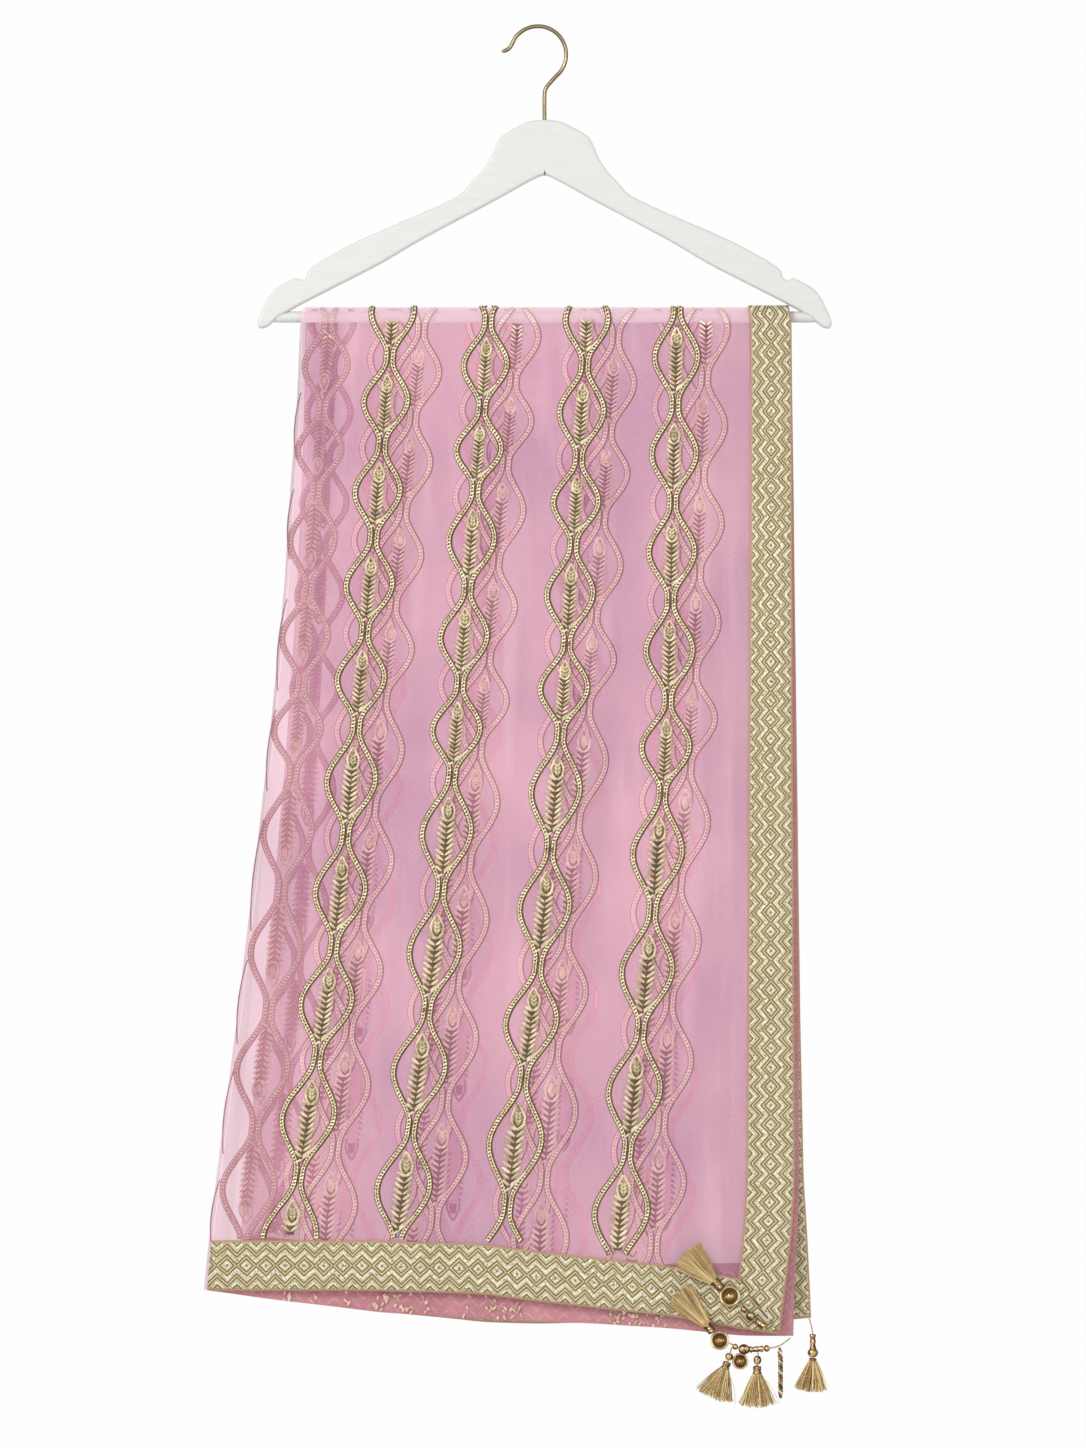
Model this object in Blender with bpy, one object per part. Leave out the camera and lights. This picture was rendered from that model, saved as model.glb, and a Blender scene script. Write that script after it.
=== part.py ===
"""Dupatta stole folded in half along its length and hung over the bar of a clothes hanger.

The stole is a sheer cloth with wavy corded embroidery and a lace border. Its long fold hangs
at the left and both long edges at the right, so four plies lie one behind the other: front
outer, front inner, back inner and back outer. Beaded tassels hang from the lower right corners.

Frame: the origin is where a rail touches the inside top of the hook, +Z is up, -Y is the front.
Sizes are in millimetres here and become metres when a mesh is made. A "depth" is a distance
straight down from the origin.
"""

import math

import bmesh
import bpy
import numpy as np
from mathutils import Vector
from mathutils.bvhtree import BVHTree

MILLIMETRE = 0.001

# Hanger
HANGER_CENTRE_X = 5.3
HANGER_THICKNESS = 12.0
HANGER_EDGE_ROUND = 2.4
BAR_RADIUS = 4.5
BAR_DEPTH = 231.0
BAR_HALF_LENGTH = 220.5
HOOK_WIRE_RADIUS = 1.6
HOOK_RADIUS = 22.6
CROWN_DEPTH = 73.8

# Cloth
PLY_WALL = 1.0
LACE_WALL = 1.0
LAY_GAP = 0.3
LACE_WIDTH = 40.0
LACE_START = 0.9165
MITRE_DRAW_BACK = 0.012
OUTER_PLY_RADIUS = BAR_RADIUS + 3 * LAY_GAP + LACE_WALL + 1.5 * PLY_WALL
PLY_PITCH_AT_BAR = PLY_WALL + LAY_GAP
PLY_PITCH_HANGING = 5.5
OUTER_PLY_HANGING_Y = 11.0
SPREAD_BELOW_BAR = 70.0
TOP_CUT_HALF_GAP = 0.2
FOLD_EDGE_GAP = 0.6
RIPPLE_HEIGHT = 3.6
RIPPLE_START_LENGTH = 95.0
RIPPLE_FADE = 0.45
CLOTH_DROP = 800.0
FOLD_STEPS = 4

# Embroidery
BAND_HALF_WIDTH = 1.9
BAND_HEIGHT = 1.9
BAND_LIFT = 0.6
NECK_HALF_GAP = 2.3
SEGMENTS_PER_LENS = 6
LENS_HALF_WIDTH_AT_BAR = 17.0
LENS_WIDENING_DOWN = 4.5
LENS_ROUNDNESS = 0.85
ANGLES_OVER_BAR = (8.0, 45.0)
SPRIG_FOOT_HALF_WIDTH = 2.2
SPRIG_HALF_WIDTH = 7.0
SPRIG_FOOT_HEIGHT = 1.2
SPRIG_HEIGHT = 2.2
SPRIG_RIDGE_SHARE = 0.45
SPRIG_PLACES = (0.72, 0.50, 0.18)
SPRIG_ROOT_PLACE = 0.75
EMBROIDERY_END_GAP = 2.5

# Tassels
STRANDS_AROUND = 12
STRAND_RINGS = 2
STRAND_DEPTH_SPREAD = 3.6
DISC_THICKNESS = 2.6

# Outline of the right half of the wooden hanger: distance from its middle, depth
HANGER_OUTLINE = (
    (0.0, 73.8), (12.5, 75.0), (22.9, 79.8), (34.9, 87.0), (38.1, 91.8), (42.9, 103.0),
    (49.3, 113.4), (58.1, 123.0), (70.1, 135.0), (146.9, 169.4), (174.1, 183.8), (185.3, 191.0),
    (189.0, 194.6), (190.6, 199.6), (194.3, 201.6), (198.9, 200.2), (205.3, 203.0), (214.9, 208.6),
    (221.3, 216.6), (225.7, 225.4), (229.6, 236.0), (227.9, 240.0), (221.3, 238.4), (213.3, 231.6),
    (194.1, 220.6), (176.5, 211.6), (131.7, 188.6), (98.9, 169.4), (38.9, 137.4), (8.0, 120.4),
    (0.0, 117.7),
)

# Side edges of the plies. Columns: depth, left fold of the front, right edge of the outer front
# ply, of the inner front ply, left fold of the back, right edge of the inner back ply and of the
# outer back ply.
EDGE_COLUMNS = (
    "depth", "front_left", "front_outer_right", "front_inner_right",
    "back_left", "back_inner_right", "back_outer_right",
)
EDGE_TABLE = np.array((
    (222.0, -188.3, 199.3, 199.3, -186.0, 199.3, 199.3),
    (231.0, -189.6, 202.4, 202.4, -186.4, 202.4, 202.4),
    (300.0, -192.6, 202.6, 203.2, -187.5, 203.6, 203.0),
    (370.0, -198.0, 202.7, 203.8, -190.0, 204.6, 203.6),
    (446.0, -202.6, 202.8, 204.6, -193.5, 205.4, 204.4),
    (570.0, -214.7, 203.0, 206.0, -201.5, 207.0, 205.6),
    (697.0, -229.4, 203.6, 207.4, -212.5, 208.6, 207.0),
    (800.0, -241.6, 204.4, 208.4, -222.5, 210.0, 208.4),
    (921.0, -257.2, 204.8, 208.8, -234.5, 212.6, 210.4),
    (961.0, -262.2, 202.6, 207.4, -238.0, 215.2, 211.6),
    (1012.0, -267.3, 196.8, 204.8, -242.5, 217.8, 213.4),
    (1046.0, -268.0, 192.0, 204.0, -245.0, 219.0, 214.6),
))

# Lower edges of the plies. Columns: x, depth of the hem of each ply.
HEM_COLUMNS = ("x", "front_outer", "front_inner", "back_inner", "back_outer")
HEM_TABLE = np.array((
    (-268.0, 1008.6, 1008.8, 1005.0, 1001.0),
    (-208.0, 1008.6, 1016.8, 1014.0, 1009.0),
    (-126.0, 1008.8, 1026.6, 1027.0, 1019.0),
    (-43.0, 1011.6, 1032.2, 1035.6, 1026.0),
    (0.0, 1017.2, 1034.0, 1036.6, 1028.5),
    (50.0, 1023.0, 1036.0, 1036.0, 1030.0),
    (102.0, 1028.4, 1039.2, 1034.6, 1030.0),
    (160.0, 1039.0, 1045.2, 1034.2, 1029.0),
    (204.0, 1044.6, 1045.4, 1033.4, 1027.5),
    (220.0, 1045.0, 1045.4, 1031.8, 1027.0),
))

# Embroidered columns: their middle line at five depths
COLUMN_DEPTHS = (225.0, 560.0, 740.0, 930.0, 990.0)
FRONT_COLUMNS = {
    "a": (-115.0, -145.0, -163.0, -193.0, -203.0),
    "b": (-38.5, -65.0, -82.5, -108.0, -116.0),
    "c": (40.0, 18.6, 1.6, -23.5, -30.0),
    "d": (111.2, 103.4, 88.5, 68.0, 61.0),
}
BACK_COLUMNS = {
    "a": (-115.0, -128.0, -138.0, -152.0, -157.0),
    "b": (-38.5, -50.0, -58.0, -67.0, -71.0),
    "c": (40.0, 33.0, 28.0, 19.0, 15.0),
    "d": (111.2, 110.0, 108.0, 103.0, 100.0),
}

# Depths of the necks, where the two bands of a column run side by side
FRONT_NECKS = {
    "a": (190, 264, 334, 408, 483, 558, 645, 734, 822, 917, 1014),
    "b": (165, 235, 305, 370, 449, 525, 597, 689, 785, 879, 974),
    "c": (197, 270, 345, 414, 492, 564, 656, 749, 839, 941, 1040),
    "d": (150, 225, 302, 380, 458, 538, 612, 706, 801, 897, 995),
}
BACK_NECKS = {
    "a": (186, 257, 330, 406, 485, 567, 652, 740, 831, 925, 1022),
    "b": (215, 290, 365, 443, 524, 608, 695, 785, 878, 974, 1072),
    "c": (178, 250, 323, 399, 478, 560, 645, 733, 824, 918, 1015),
    "d": (222, 298, 373, 451, 532, 616, 703, 793, 886, 982, 1080),
}

COLOURS = {
    "painted_wood": ((0.84, 0.84, 0.82), 0.45, 0.0),
    "brass_wire": ((0.36, 0.27, 0.15), 0.35, 1.0),
    "organza": ((0.80, 0.48, 0.62), 0.55, 0.0),
    "gold_lace": ((0.62, 0.52, 0.30), 0.45, 0.5),
    "gold_cord": ((0.66, 0.58, 0.36), 0.42, 0.5),
    "tassel_thread": ((0.60, 0.42, 0.18), 0.60, 0.0),
    "antique_gold": ((0.55, 0.38, 0.16), 0.32, 1.0),
}


def clear_scene():
    """Remove every object, mesh and material that the file opened with."""
    for old in list(bpy.data.objects):
        bpy.data.objects.remove(old, do_unlink=True)
    for store in (bpy.data.meshes, bpy.data.curves, bpy.data.materials):
        for old in list(store):
            store.remove(old)


def material_for(name, finish):
    """A Principled material of the piece's own, in one of the finishes above."""
    colour, roughness, metallic = COLOURS[finish]
    material = bpy.data.materials.new(name + "_finish")
    material.use_nodes = True
    shader = material.node_tree.nodes["Principled BSDF"]
    shader.inputs["Base Color"].default_value = (*colour, 1.0)
    shader.inputs["Roughness"].default_value = roughness
    shader.inputs["Metallic"].default_value = metallic
    material.diffuse_color = (*colour, 1.0)
    return material


def add_solid(name, points, faces, finish, smooth_angle=0.7):
    """Make one named closed solid from points in millimetres, its faces turned outwards."""
    mesh = bpy.data.meshes.new(name)
    mesh.from_pydata([Vector(p) * MILLIMETRE for p in points], [], faces)
    work = bmesh.new()
    work.from_mesh(mesh)
    bmesh.ops.recalc_face_normals(work, faces=work.faces)
    work.to_mesh(mesh)
    work.free()
    mesh.shade_smooth()
    mesh.set_sharp_from_angle(angle=smooth_angle)
    mesh.materials.append(material_for(name, finish))
    solid = bpy.data.objects.new(name, mesh)
    bpy.context.collection.objects.link(solid)
    return solid


def smooth_step(value):
    """Ease from 0 to 1."""
    value = min(max(value, 0.0), 1.0)
    return value * value * (3.0 - 2.0 * value)


def tube_faces(ring_count, sides):
    """Faces of a tube whose rings follow each other, with both ends closed."""
    faces = []
    for ring in range(ring_count - 1):
        for side in range(sides):
            a = ring * sides + side
            b = ring * sides + (side + 1) % sides
            faces.append((a, b, b + sides, a + sides))
    faces.append(tuple(range(sides)))
    last = (ring_count - 1) * sides
    faces.append(tuple(last + side for side in range(sides)))
    return faces


def swept_tube(name, path, radii, sides, finish, twist=0.0):
    """A tube along a path, with a radius and a turn of its own at each point."""
    path = [Vector(p) for p in path]
    points = []
    for index, here in enumerate(path):
        ahead = path[min(index + 1, len(path) - 1)]
        behind = path[max(index - 1, 0)]
        along = (ahead - behind).normalized()
        across = along.cross(Vector((0, 1, 0))).normalized()
        up = across.cross(along).normalized()
        for side in range(sides):
            angle = 2 * math.pi * side / sides + twist * index
            offset = across * math.cos(angle) + up * math.sin(angle)
            points.append(here + offset * radii[index])
    return add_solid(name, points, tube_faces(len(path), sides), finish)


# Hanger

def build_hanger_body():
    """Flat wooden arms with softly rounded rims and a blind socket for the bar in each end."""
    right = [(HANGER_CENTRE_X + x, -depth) for x, depth in HANGER_OUTLINE]
    left = [(HANGER_CENTRE_X - x, -depth) for x, depth in HANGER_OUTLINE[-2:0:-1]]
    outline = right + left
    half = HANGER_THICKNESS / 2
    count = len(outline)
    points = [(x, -half, z) for x, z in outline] + [(x, half, z) for x, z in outline]
    faces = [tuple(range(count)), tuple(range(2 * count - 1, count - 1, -1))]
    for i in range(count):
        j = (i + 1) % count
        faces.append((i, j, j + count, i + count))
    body = add_solid("hanger_body", points, faces, "painted_wood")
    work = bmesh.new()
    work.from_mesh(body.data)
    caps = [face for face in work.faces if len(face.verts) == count]
    rims = list({edge for face in caps for edge in face.edges})
    bmesh.ops.bevel(
        work, geom=rims, offset=HANGER_EDGE_ROUND * MILLIMETRE, segments=2,
        profile=0.5, affect="EDGES", clamp_overlap=True,
    )
    work.to_mesh(body.data)
    work.free()

    socket = bar_cylinder("bar_socket_cutter", BAR_RADIUS + LAY_GAP, BAR_HALF_LENGTH + LAY_GAP)
    socket.hide_render = True
    socket.display_type = "WIRE"
    cut = body.modifiers.new("bar_sockets", "BOOLEAN")
    cut.operation = "DIFFERENCE"
    cut.solver = "EXACT"
    cut.object = socket


def bar_cylinder(name, radius, half_length):
    """A round bar along X between the arms' ends."""
    sides = 16
    points = []
    for x in (HANGER_CENTRE_X - half_length, HANGER_CENTRE_X + half_length):
        for side in range(sides):
            angle = 2 * math.pi * (side + 0.5) / sides
            points.append((x, radius * math.cos(angle), -BAR_DEPTH + radius * math.sin(angle)))
    return add_solid(name, points, tube_faces(2, sides), "painted_wood")


def build_hook():
    """Wire hook: an open ring with an out-turned tip, drawn down to the crown of the hanger."""
    centre_z = HOOK_WIRE_RADIUS - HOOK_RADIUS
    tip = [(-29.0, -18.6), (-25.4, -17.6), (-22.3, -15.2)]
    ring = []
    ring_steps = 16
    for step in range(ring_steps + 1):
        angle = math.radians(143.0 - step * (143.0 + 50.0) / ring_steps)
        ring.append((HOOK_RADIUS * math.cos(angle), centre_z + HOOK_RADIUS * math.sin(angle)))
    neck = [(9.8, -43.6), (6.2, -48.4), (5.3, -54.0), (HANGER_CENTRE_X, -CROWN_DEPTH + LAY_GAP)]
    path = [(x, 0.0, z) for x, z in tip + ring + neck]
    radii = [HOOK_WIRE_RADIUS * 0.55] + [HOOK_WIRE_RADIUS] * (len(path) - 1)
    swept_tube("hanger_hook", path, radii, 8, "brass_wire")


# Cloth

def edge_x(column, depth):
    """Side edge of a ply at a depth."""
    return float(np.interp(depth, EDGE_TABLE[:, 0], EDGE_TABLE[:, EDGE_COLUMNS.index(column)]))


def hem_depth(ply, x):
    """Lower edge of a ply at a place along its width."""
    return float(np.interp(x, HEM_TABLE[:, 0], HEM_TABLE[:, HEM_COLUMNS.index(ply)]))


def ripple(x, depth):
    """Soft waves that all plies share: none on the bar, deepest below it, shallow at the hem."""
    left = edge_x("front_left", depth)
    right = edge_x("front_outer_right", depth)
    across = (x - left) / (right - left)
    below = depth - BAR_DEPTH
    rise = smooth_step(below / RIPPLE_START_LENGTH)
    fade = 1.0 - RIPPLE_FADE * min(below / CLOTH_DROP, 1.0)
    wave = 0.62 * math.sin(2 * math.pi * (4.6 * across + 0.10) + below / 900.0)
    wave += 0.38 * math.sin(2 * math.pi * (2.7 * across + 0.45) - below / 420.0)
    return RIPPLE_HEIGHT * rise * fade * wave


# Rows of a ply from the top of the bar down: on the bar an angle from the vertical, below it a
# fraction of the way to the hem; the last two are the upper edge of the hem lace and the hem.
BAR_ROW_ANGLES = (None, 45.0, 90.0)
DROP_ROWS = (0.045, 0.10, 0.17, 0.25, 0.34, 0.44, 0.54, 0.64, 0.74, 0.84, 0.92)


def row_count():
    return len(BAR_ROW_ANGLES) + len(DROP_ROWS) + 2


def row_depth(row, hem):
    """Depth of a row below the bar, for the hem depth at that place."""
    index = row - len(BAR_ROW_ANGLES)
    if index < len(DROP_ROWS):
        top_of_lace = hem - LACE_WIDTH
        return BAR_DEPTH + (top_of_lace - BAR_DEPTH) * DROP_ROWS[index]
    if index == len(DROP_ROWS):
        return hem - LACE_WIDTH
    return hem


class Ply:
    """One stretch of the cloth between the top of the bar and the hem."""

    def __init__(self, name, side, inner, left, right, columns):
        self.name = name
        self.side = side
        self.inner = inner
        self.left = left
        self.right = right
        self.shares = [LACE_START * i / columns for i in range(columns + 1)] + [1.0]
        self.fold_steps = 0 if inner else FOLD_STEPS
        self.middle = self.grid()
        self.normals = self.grid_normals()

    def pitch(self, depth):
        """Distance between the outer and the inner ply."""
        spread = smooth_step((depth - BAR_DEPTH) / SPREAD_BELOW_BAR)
        return PLY_PITCH_AT_BAR + (PLY_PITCH_HANGING - PLY_PITCH_AT_BAR) * spread

    def place(self, x, row, depth, inward):
        """A point of the cloth, a distance inward from the outer ply's middle."""
        if row < len(BAR_ROW_ANGLES):
            radius = OUTER_PLY_RADIUS - inward
            angle = BAR_ROW_ANGLES[row]
            if angle is None:
                angle = math.degrees(math.asin(TOP_CUT_HALF_GAP / OUTER_PLY_RADIUS))
            angle = math.radians(angle)
            y = self.side * radius * math.sin(angle)
            return Vector((x, y, -BAR_DEPTH + radius * math.cos(angle)))
        spread = smooth_step((depth - BAR_DEPTH) / SPREAD_BELOW_BAR)
        out = OUTER_PLY_RADIUS + (OUTER_PLY_HANGING_Y - OUTER_PLY_RADIUS) * spread
        return Vector((x, self.side * (out - inward) + ripple(x, depth), -depth))

    def point(self, row, share, fold_angle=None):
        """A point at a share of the width, or on the rounded fold at the left."""
        x = 0.0
        depth = BAR_DEPTH
        for _ in range(3):
            if row < len(BAR_ROW_ANGLES):
                angle = math.radians(BAR_ROW_ANGLES[row] or 0.0)
                depth = BAR_DEPTH - OUTER_PLY_RADIUS * math.cos(angle)
            else:
                depth = row_depth(row, hem_depth(self.name, x))
            pitch = self.pitch(depth)
            start = edge_x(self.left, depth) + pitch / 2
            if self.inner:
                start += FOLD_EDGE_GAP
            x = start + (edge_x(self.right, depth) - start) * share
        if fold_angle is None:
            return self.place(x, row, depth, pitch if self.inner else 0.0)
        radius = pitch / 2
        x = start - radius * math.sin(fold_angle)
        return self.place(x, row, depth, radius - radius * math.cos(fold_angle))

    def grid(self):
        """Middle surface, row by row; the fold's points come first."""
        rows = []
        for row in range(row_count()):
            line = []
            for step in range(self.fold_steps, 0, -1):
                line.append(self.point(row, 0.0, math.pi * step / self.fold_steps))
            line.extend(self.point(row, share) for share in self.shares)
            rows.append(line)
        return rows

    def grid_normals(self):
        """Outward normals of the middle surface, away from the bar."""
        normals = []
        last_row = len(self.middle) - 1
        last_column = len(self.middle[0]) - 1
        for i, line in enumerate(self.middle):
            row_normals = []
            for j in range(len(line)):
                across = line[min(j + 1, last_column)] - line[max(j - 1, 0)]
                down = self.middle[min(i + 1, last_row)][j] - self.middle[max(i - 1, 0)][j]
                normal = (across.cross(down) * self.side).normalized()
                if i < len(BAR_ROW_ANGLES):
                    along = self.along_bar_row(i)
                    normal = (normal - along * normal.dot(along)).normalized()
                row_normals.append(normal)
            normals.append(row_normals)
        return normals

    def along_bar_row(self, row):
        """Direction in which the cloth runs down at a row on the bar."""
        angle = math.radians(BAR_ROW_ANGLES[row] or 0.0)
        return Vector((0.0, self.side * math.cos(angle), -math.sin(angle)))

    def moved_out(self, distance):
        """The middle surface moved along its normals."""
        return [
            [point + normal * distance for point, normal in zip(line, normal_line)]
            for line, normal_line in zip(self.middle, self.normals)
        ]

    def wall(self, near, far, cells):
        """Closed solid between two moved surfaces over the given cells of the grid."""
        surfaces = (self.moved_out(near), self.moved_out(far))
        points = []
        numbers = {}

        def number(layer, i, j):
            key = (layer, i, j)
            if key not in numbers:
                numbers[key] = len(points)
                points.append(surfaces[layer][i][j])
            return numbers[key]

        faces = []
        borders = {}
        for i, j in cells:
            corners = ((i, j), (i, j + 1), (i + 1, j + 1), (i + 1, j))
            for triangle in ((0, 1, 2), (0, 2, 3)):
                for layer in (0, 1):
                    faces.append(tuple(number(layer, *corners[k]) for k in triangle))
            for k in range(4):
                edge = frozenset((corners[k], corners[(k + 1) % 4]))
                borders[edge] = None if edge in borders else (corners[k], corners[(k + 1) % 4])
        for pair in borders.values():
            if pair is None:
                continue
            start, end = pair
            near_start, near_end = number(0, *start), number(0, *end)
            far_start, far_end = number(1, *start), number(1, *end)
            faces.append((near_start, near_end, far_end))
            faces.append((near_start, far_end, far_start))
        return points, faces

    def build(self):
        """The ply as a wall of cloth."""
        rows = len(self.middle) - 1
        columns = len(self.middle[0]) - 1
        cells = [(i, j) for i in range(rows) for j in range(columns)]
        points, faces = self.wall(-PLY_WALL / 2, PLY_WALL / 2, cells)
        add_solid(self.name, points, faces, "organza", smooth_angle=1.2)

    def build_lace(self):
        """Side and hem lace on the right side of the cloth, mitred at the corner."""
        near = PLY_WALL / 2 + LAY_GAP
        far = near + LACE_WALL
        if self.inner:
            near, far = -near, -far
        surfaces = (self.moved_out(near), self.moved_out(far))
        last_row = len(self.middle) - 1
        last_column = len(self.middle[0]) - 1
        side_strip = [((i, last_column - 1), (i, last_column)) for i in range(last_row)]
        side_corner = (last_row - 1, last_column)
        self.lace_strip(self.name + "_lace_side", surfaces, side_strip, side_corner)
        hem_columns = range(self.fold_steps, last_column)
        hem_strip = [((last_row - 1, j), (last_row, j)) for j in hem_columns]
        hem_corner = (last_row, last_column - 1)
        self.lace_strip(self.name + "_lace_hem", surfaces, hem_strip, hem_corner)

    def lace_strip(self, name, surfaces, strip, towards):
        """A strip of lace two points wide that ends in a pointed mitre at the corner.

        The mitre's two ends are drawn back a little towards the strip's own corner of the cell,
        so that it stays clear of the strip that it meets.
        """
        last_row = len(self.middle) - 1
        last_column = len(self.middle[0]) - 1
        inner = (last_row - 1, last_column - 1)
        outer = (last_row, last_column)
        points = []
        count = len(strip)
        for surface in surfaces:
            for pair in strip:
                for i, j in pair:
                    point = surface[i][j]
                    if (i, j) == inner:
                        point = point.lerp(surface[towards[0]][towards[1]], MITRE_DRAW_BACK)
                    points.append(point)
            tip = surface[outer[0]][outer[1]]
            points.append(tip.lerp(surface[towards[0]][towards[1]], MITRE_DRAW_BACK))
        layer = 2 * count + 1
        faces = []
        for base in (0, layer):
            for k in range(count - 1):
                a, b = base + 2 * k, base + 2 * k + 1
                faces.append((a, b, b + 2))
                faces.append((a, b + 2, a + 2))
            faces.append((base + 2 * count - 2, base + 2 * count - 1, base + 2 * count))
        rim = [2 * k for k in range(count)] + [2 * count]
        rim += [2 * k + 1 for k in range(count - 1, -1, -1)]
        for k, start in enumerate(rim):
            end = rim[(k + 1) % len(rim)]
            faces.append((start, end, end + layer))
            faces.append((start, end + layer, start + layer))
        add_solid(name, points, faces, "gold_lace", smooth_angle=1.0)

    def face_tree(self, lift):
        """Search tree of the ply's right side, or of a surface lying above it."""
        surface = self.moved_out(lift)
        width = len(surface[0])
        points = [point for line in surface for point in line]
        triangles = []
        for i in range(len(surface) - 1):
            for j in range(width - 1):
                a = i * width + j
                triangles.append((a, a + 1, a + width + 1))
                triangles.append((a, a + width + 1, a + width))
        return BVHTree.FromPolygons(points, triangles)


# Embroidery

class Column:
    """One embroidered column: two wavy bands with a leafy sprig in each lens between them."""

    def __init__(self, ply, tree, key, middles, necks, sprigs_up):
        self.ply = ply
        self.tree = tree
        self.key = key
        self.middles = middles
        self.necks = necks
        self.sprigs_up = sprigs_up

    def middle_x(self, depth):
        return float(np.interp(depth, COLUMN_DEPTHS, self.middles))

    def half_width(self, depth):
        """Distance of a band from the column's middle line."""
        lens = int(np.searchsorted(self.necks, depth, side="right")) - 1
        lens = min(max(lens, 0), len(self.necks) - 2)
        start, end = self.necks[lens], self.necks[lens + 1]
        swell = math.sin(math.pi * (depth - start) / (end - start)) ** 2
        widest = LENS_HALF_WIDTH_AT_BAR + LENS_WIDENING_DOWN * (depth - BAR_DEPTH) / CLOTH_DROP
        return NECK_HALF_GAP + (widest - NECK_HALF_GAP) * swell ** LENS_ROUNDNESS

    def lay(self, x, depth, lift):
        """Drop a point straight onto the cloth and lift it off along the cloth's normal."""
        start = Vector((x, self.ply.side * 200.0, -depth))
        hit, normal, _, _ = self.tree.ray_cast(start, Vector((0, -self.ply.side, 0)))
        if normal.y * self.ply.side < 0:
            normal = -normal
        return hit + normal * lift

    def over_bar(self, x, angle, lift):
        """A point on the round of the cloth over the bar."""
        radius = OUTER_PLY_RADIUS + PLY_WALL / 2 + lift
        turn = math.radians(angle)
        return Vector((x, self.ply.side * radius * math.sin(turn),
                       -BAR_DEPTH + radius * math.cos(turn)))

    def lace_depth(self):
        """Highest place of the hem lace across the column's width."""
        middle = self.middle_x(970.0)
        hems = [hem_depth(self.ply.name, middle + reach) for reach in (-24.0, 0.0, 24.0)]
        return min(hems) - LACE_WIDTH

    def section_depths(self):
        """Depths of the cross-sections, a fixed number in each lens."""
        end = self.lace_depth() - EMBROIDERY_END_GAP
        depths = [BAR_DEPTH]
        for start, stop in zip(self.necks, self.necks[1:]):
            for step in range(SEGMENTS_PER_LENS):
                depth = start + (stop - start) * step / SEGMENTS_PER_LENS
                if BAR_DEPTH + 5.0 < depth < end - 5.0:
                    depths.append(depth)
        depths.append(end)
        return depths

    def band_centre(self, depth, hand):
        return self.middle_x(depth) + hand * self.half_width(depth)

    def build_band(self, hand):
        """A band of triangular section; the left one carries the sprigs."""
        depths = self.section_depths()
        points = []
        for angle in ANGLES_OVER_BAR:
            drop = OUTER_PLY_RADIUS * math.cos(math.radians(angle))
            x = self.band_centre(BAR_DEPTH - drop, hand)
            points.append(self.over_bar(x - BAND_HALF_WIDTH, angle, BAND_LIFT))
            points.append(self.over_bar(x + BAND_HALF_WIDTH, angle, BAND_LIFT))
            points.append(self.over_bar(x, angle, BAND_LIFT + BAND_HEIGHT))
        for index, depth in enumerate(depths):
            x = self.band_centre(depth, hand)
            above = depths[max(index - 1, 0)]
            below = depths[min(index + 1, len(depths) - 1)]
            run = self.band_centre(below, hand) - self.band_centre(above, hand)
            length = math.hypot(run, below - above)
            across_x = (below - above) / length * BAND_HALF_WIDTH
            across_depth = -run / length * BAND_HALF_WIDTH
            if index in (0, len(depths) - 1):
                across_x, across_depth = BAND_HALF_WIDTH, 0.0
            if index == 0:
                points.append(self.over_bar(x - across_x, 90.0, BAND_LIFT))
                points.append(self.over_bar(x + across_x, 90.0, BAND_LIFT))
                points.append(self.over_bar(x, 90.0, BAND_LIFT + BAND_HEIGHT))
                continue
            points.append(self.lay(x - across_x, depth - across_depth, BAND_LIFT))
            points.append(self.lay(x + across_x, depth + across_depth, BAND_LIFT))
            points.append(self.lay(x, depth, BAND_LIFT + BAND_HEIGHT))
        first_drop = len(ANGLES_OVER_BAR)
        sections = first_drop + len(depths)
        roots = self.sprig_roots(depths, first_drop) if hand < 0 else {}
        faces = [(0, 1, 2), (3 * sections - 3, 3 * sections - 2, 3 * sections - 1)]
        for section in range(sections - 1):
            a = 3 * section
            b = a + 3
            faces.append((a, a + 1, b + 1, b))
            faces.append((a, a + 2, b + 2, b))
            ring = (a + 1, b + 1, b + 2, a + 2)
            if section in roots:
                self.add_sprig(points, faces, ring, *roots[section])
            else:
                faces.append(ring)
        hand_name = "left" if hand < 0 else "right"
        side_name = "front" if self.ply.side < 0 else "back"
        name = f"cord_{side_name}_{self.key}_{hand_name}"
        work = [split for face in faces for split in split_face(face)]
        add_solid(name, points, work, "gold_cord", smooth_angle=0.6)

    def sprig_roots(self, depths, first_drop):
        """The band's section from which each lens's sprig grows."""
        roots = {}
        root_share = SPRIG_ROOT_PLACE if self.sprigs_up else 1.0 - SPRIG_ROOT_PLACE
        for start, stop in zip(self.necks, self.necks[1:]):
            root = start + (stop - start) * root_share
            if not (BAR_DEPTH + 12.0 < start + 8.0 and depths[0] < root < depths[-1] - 14.0):
                continue
            section = int(np.searchsorted(depths, root, side="right")) - 1
            roots[section + first_drop] = (start, stop)
        return roots

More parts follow.
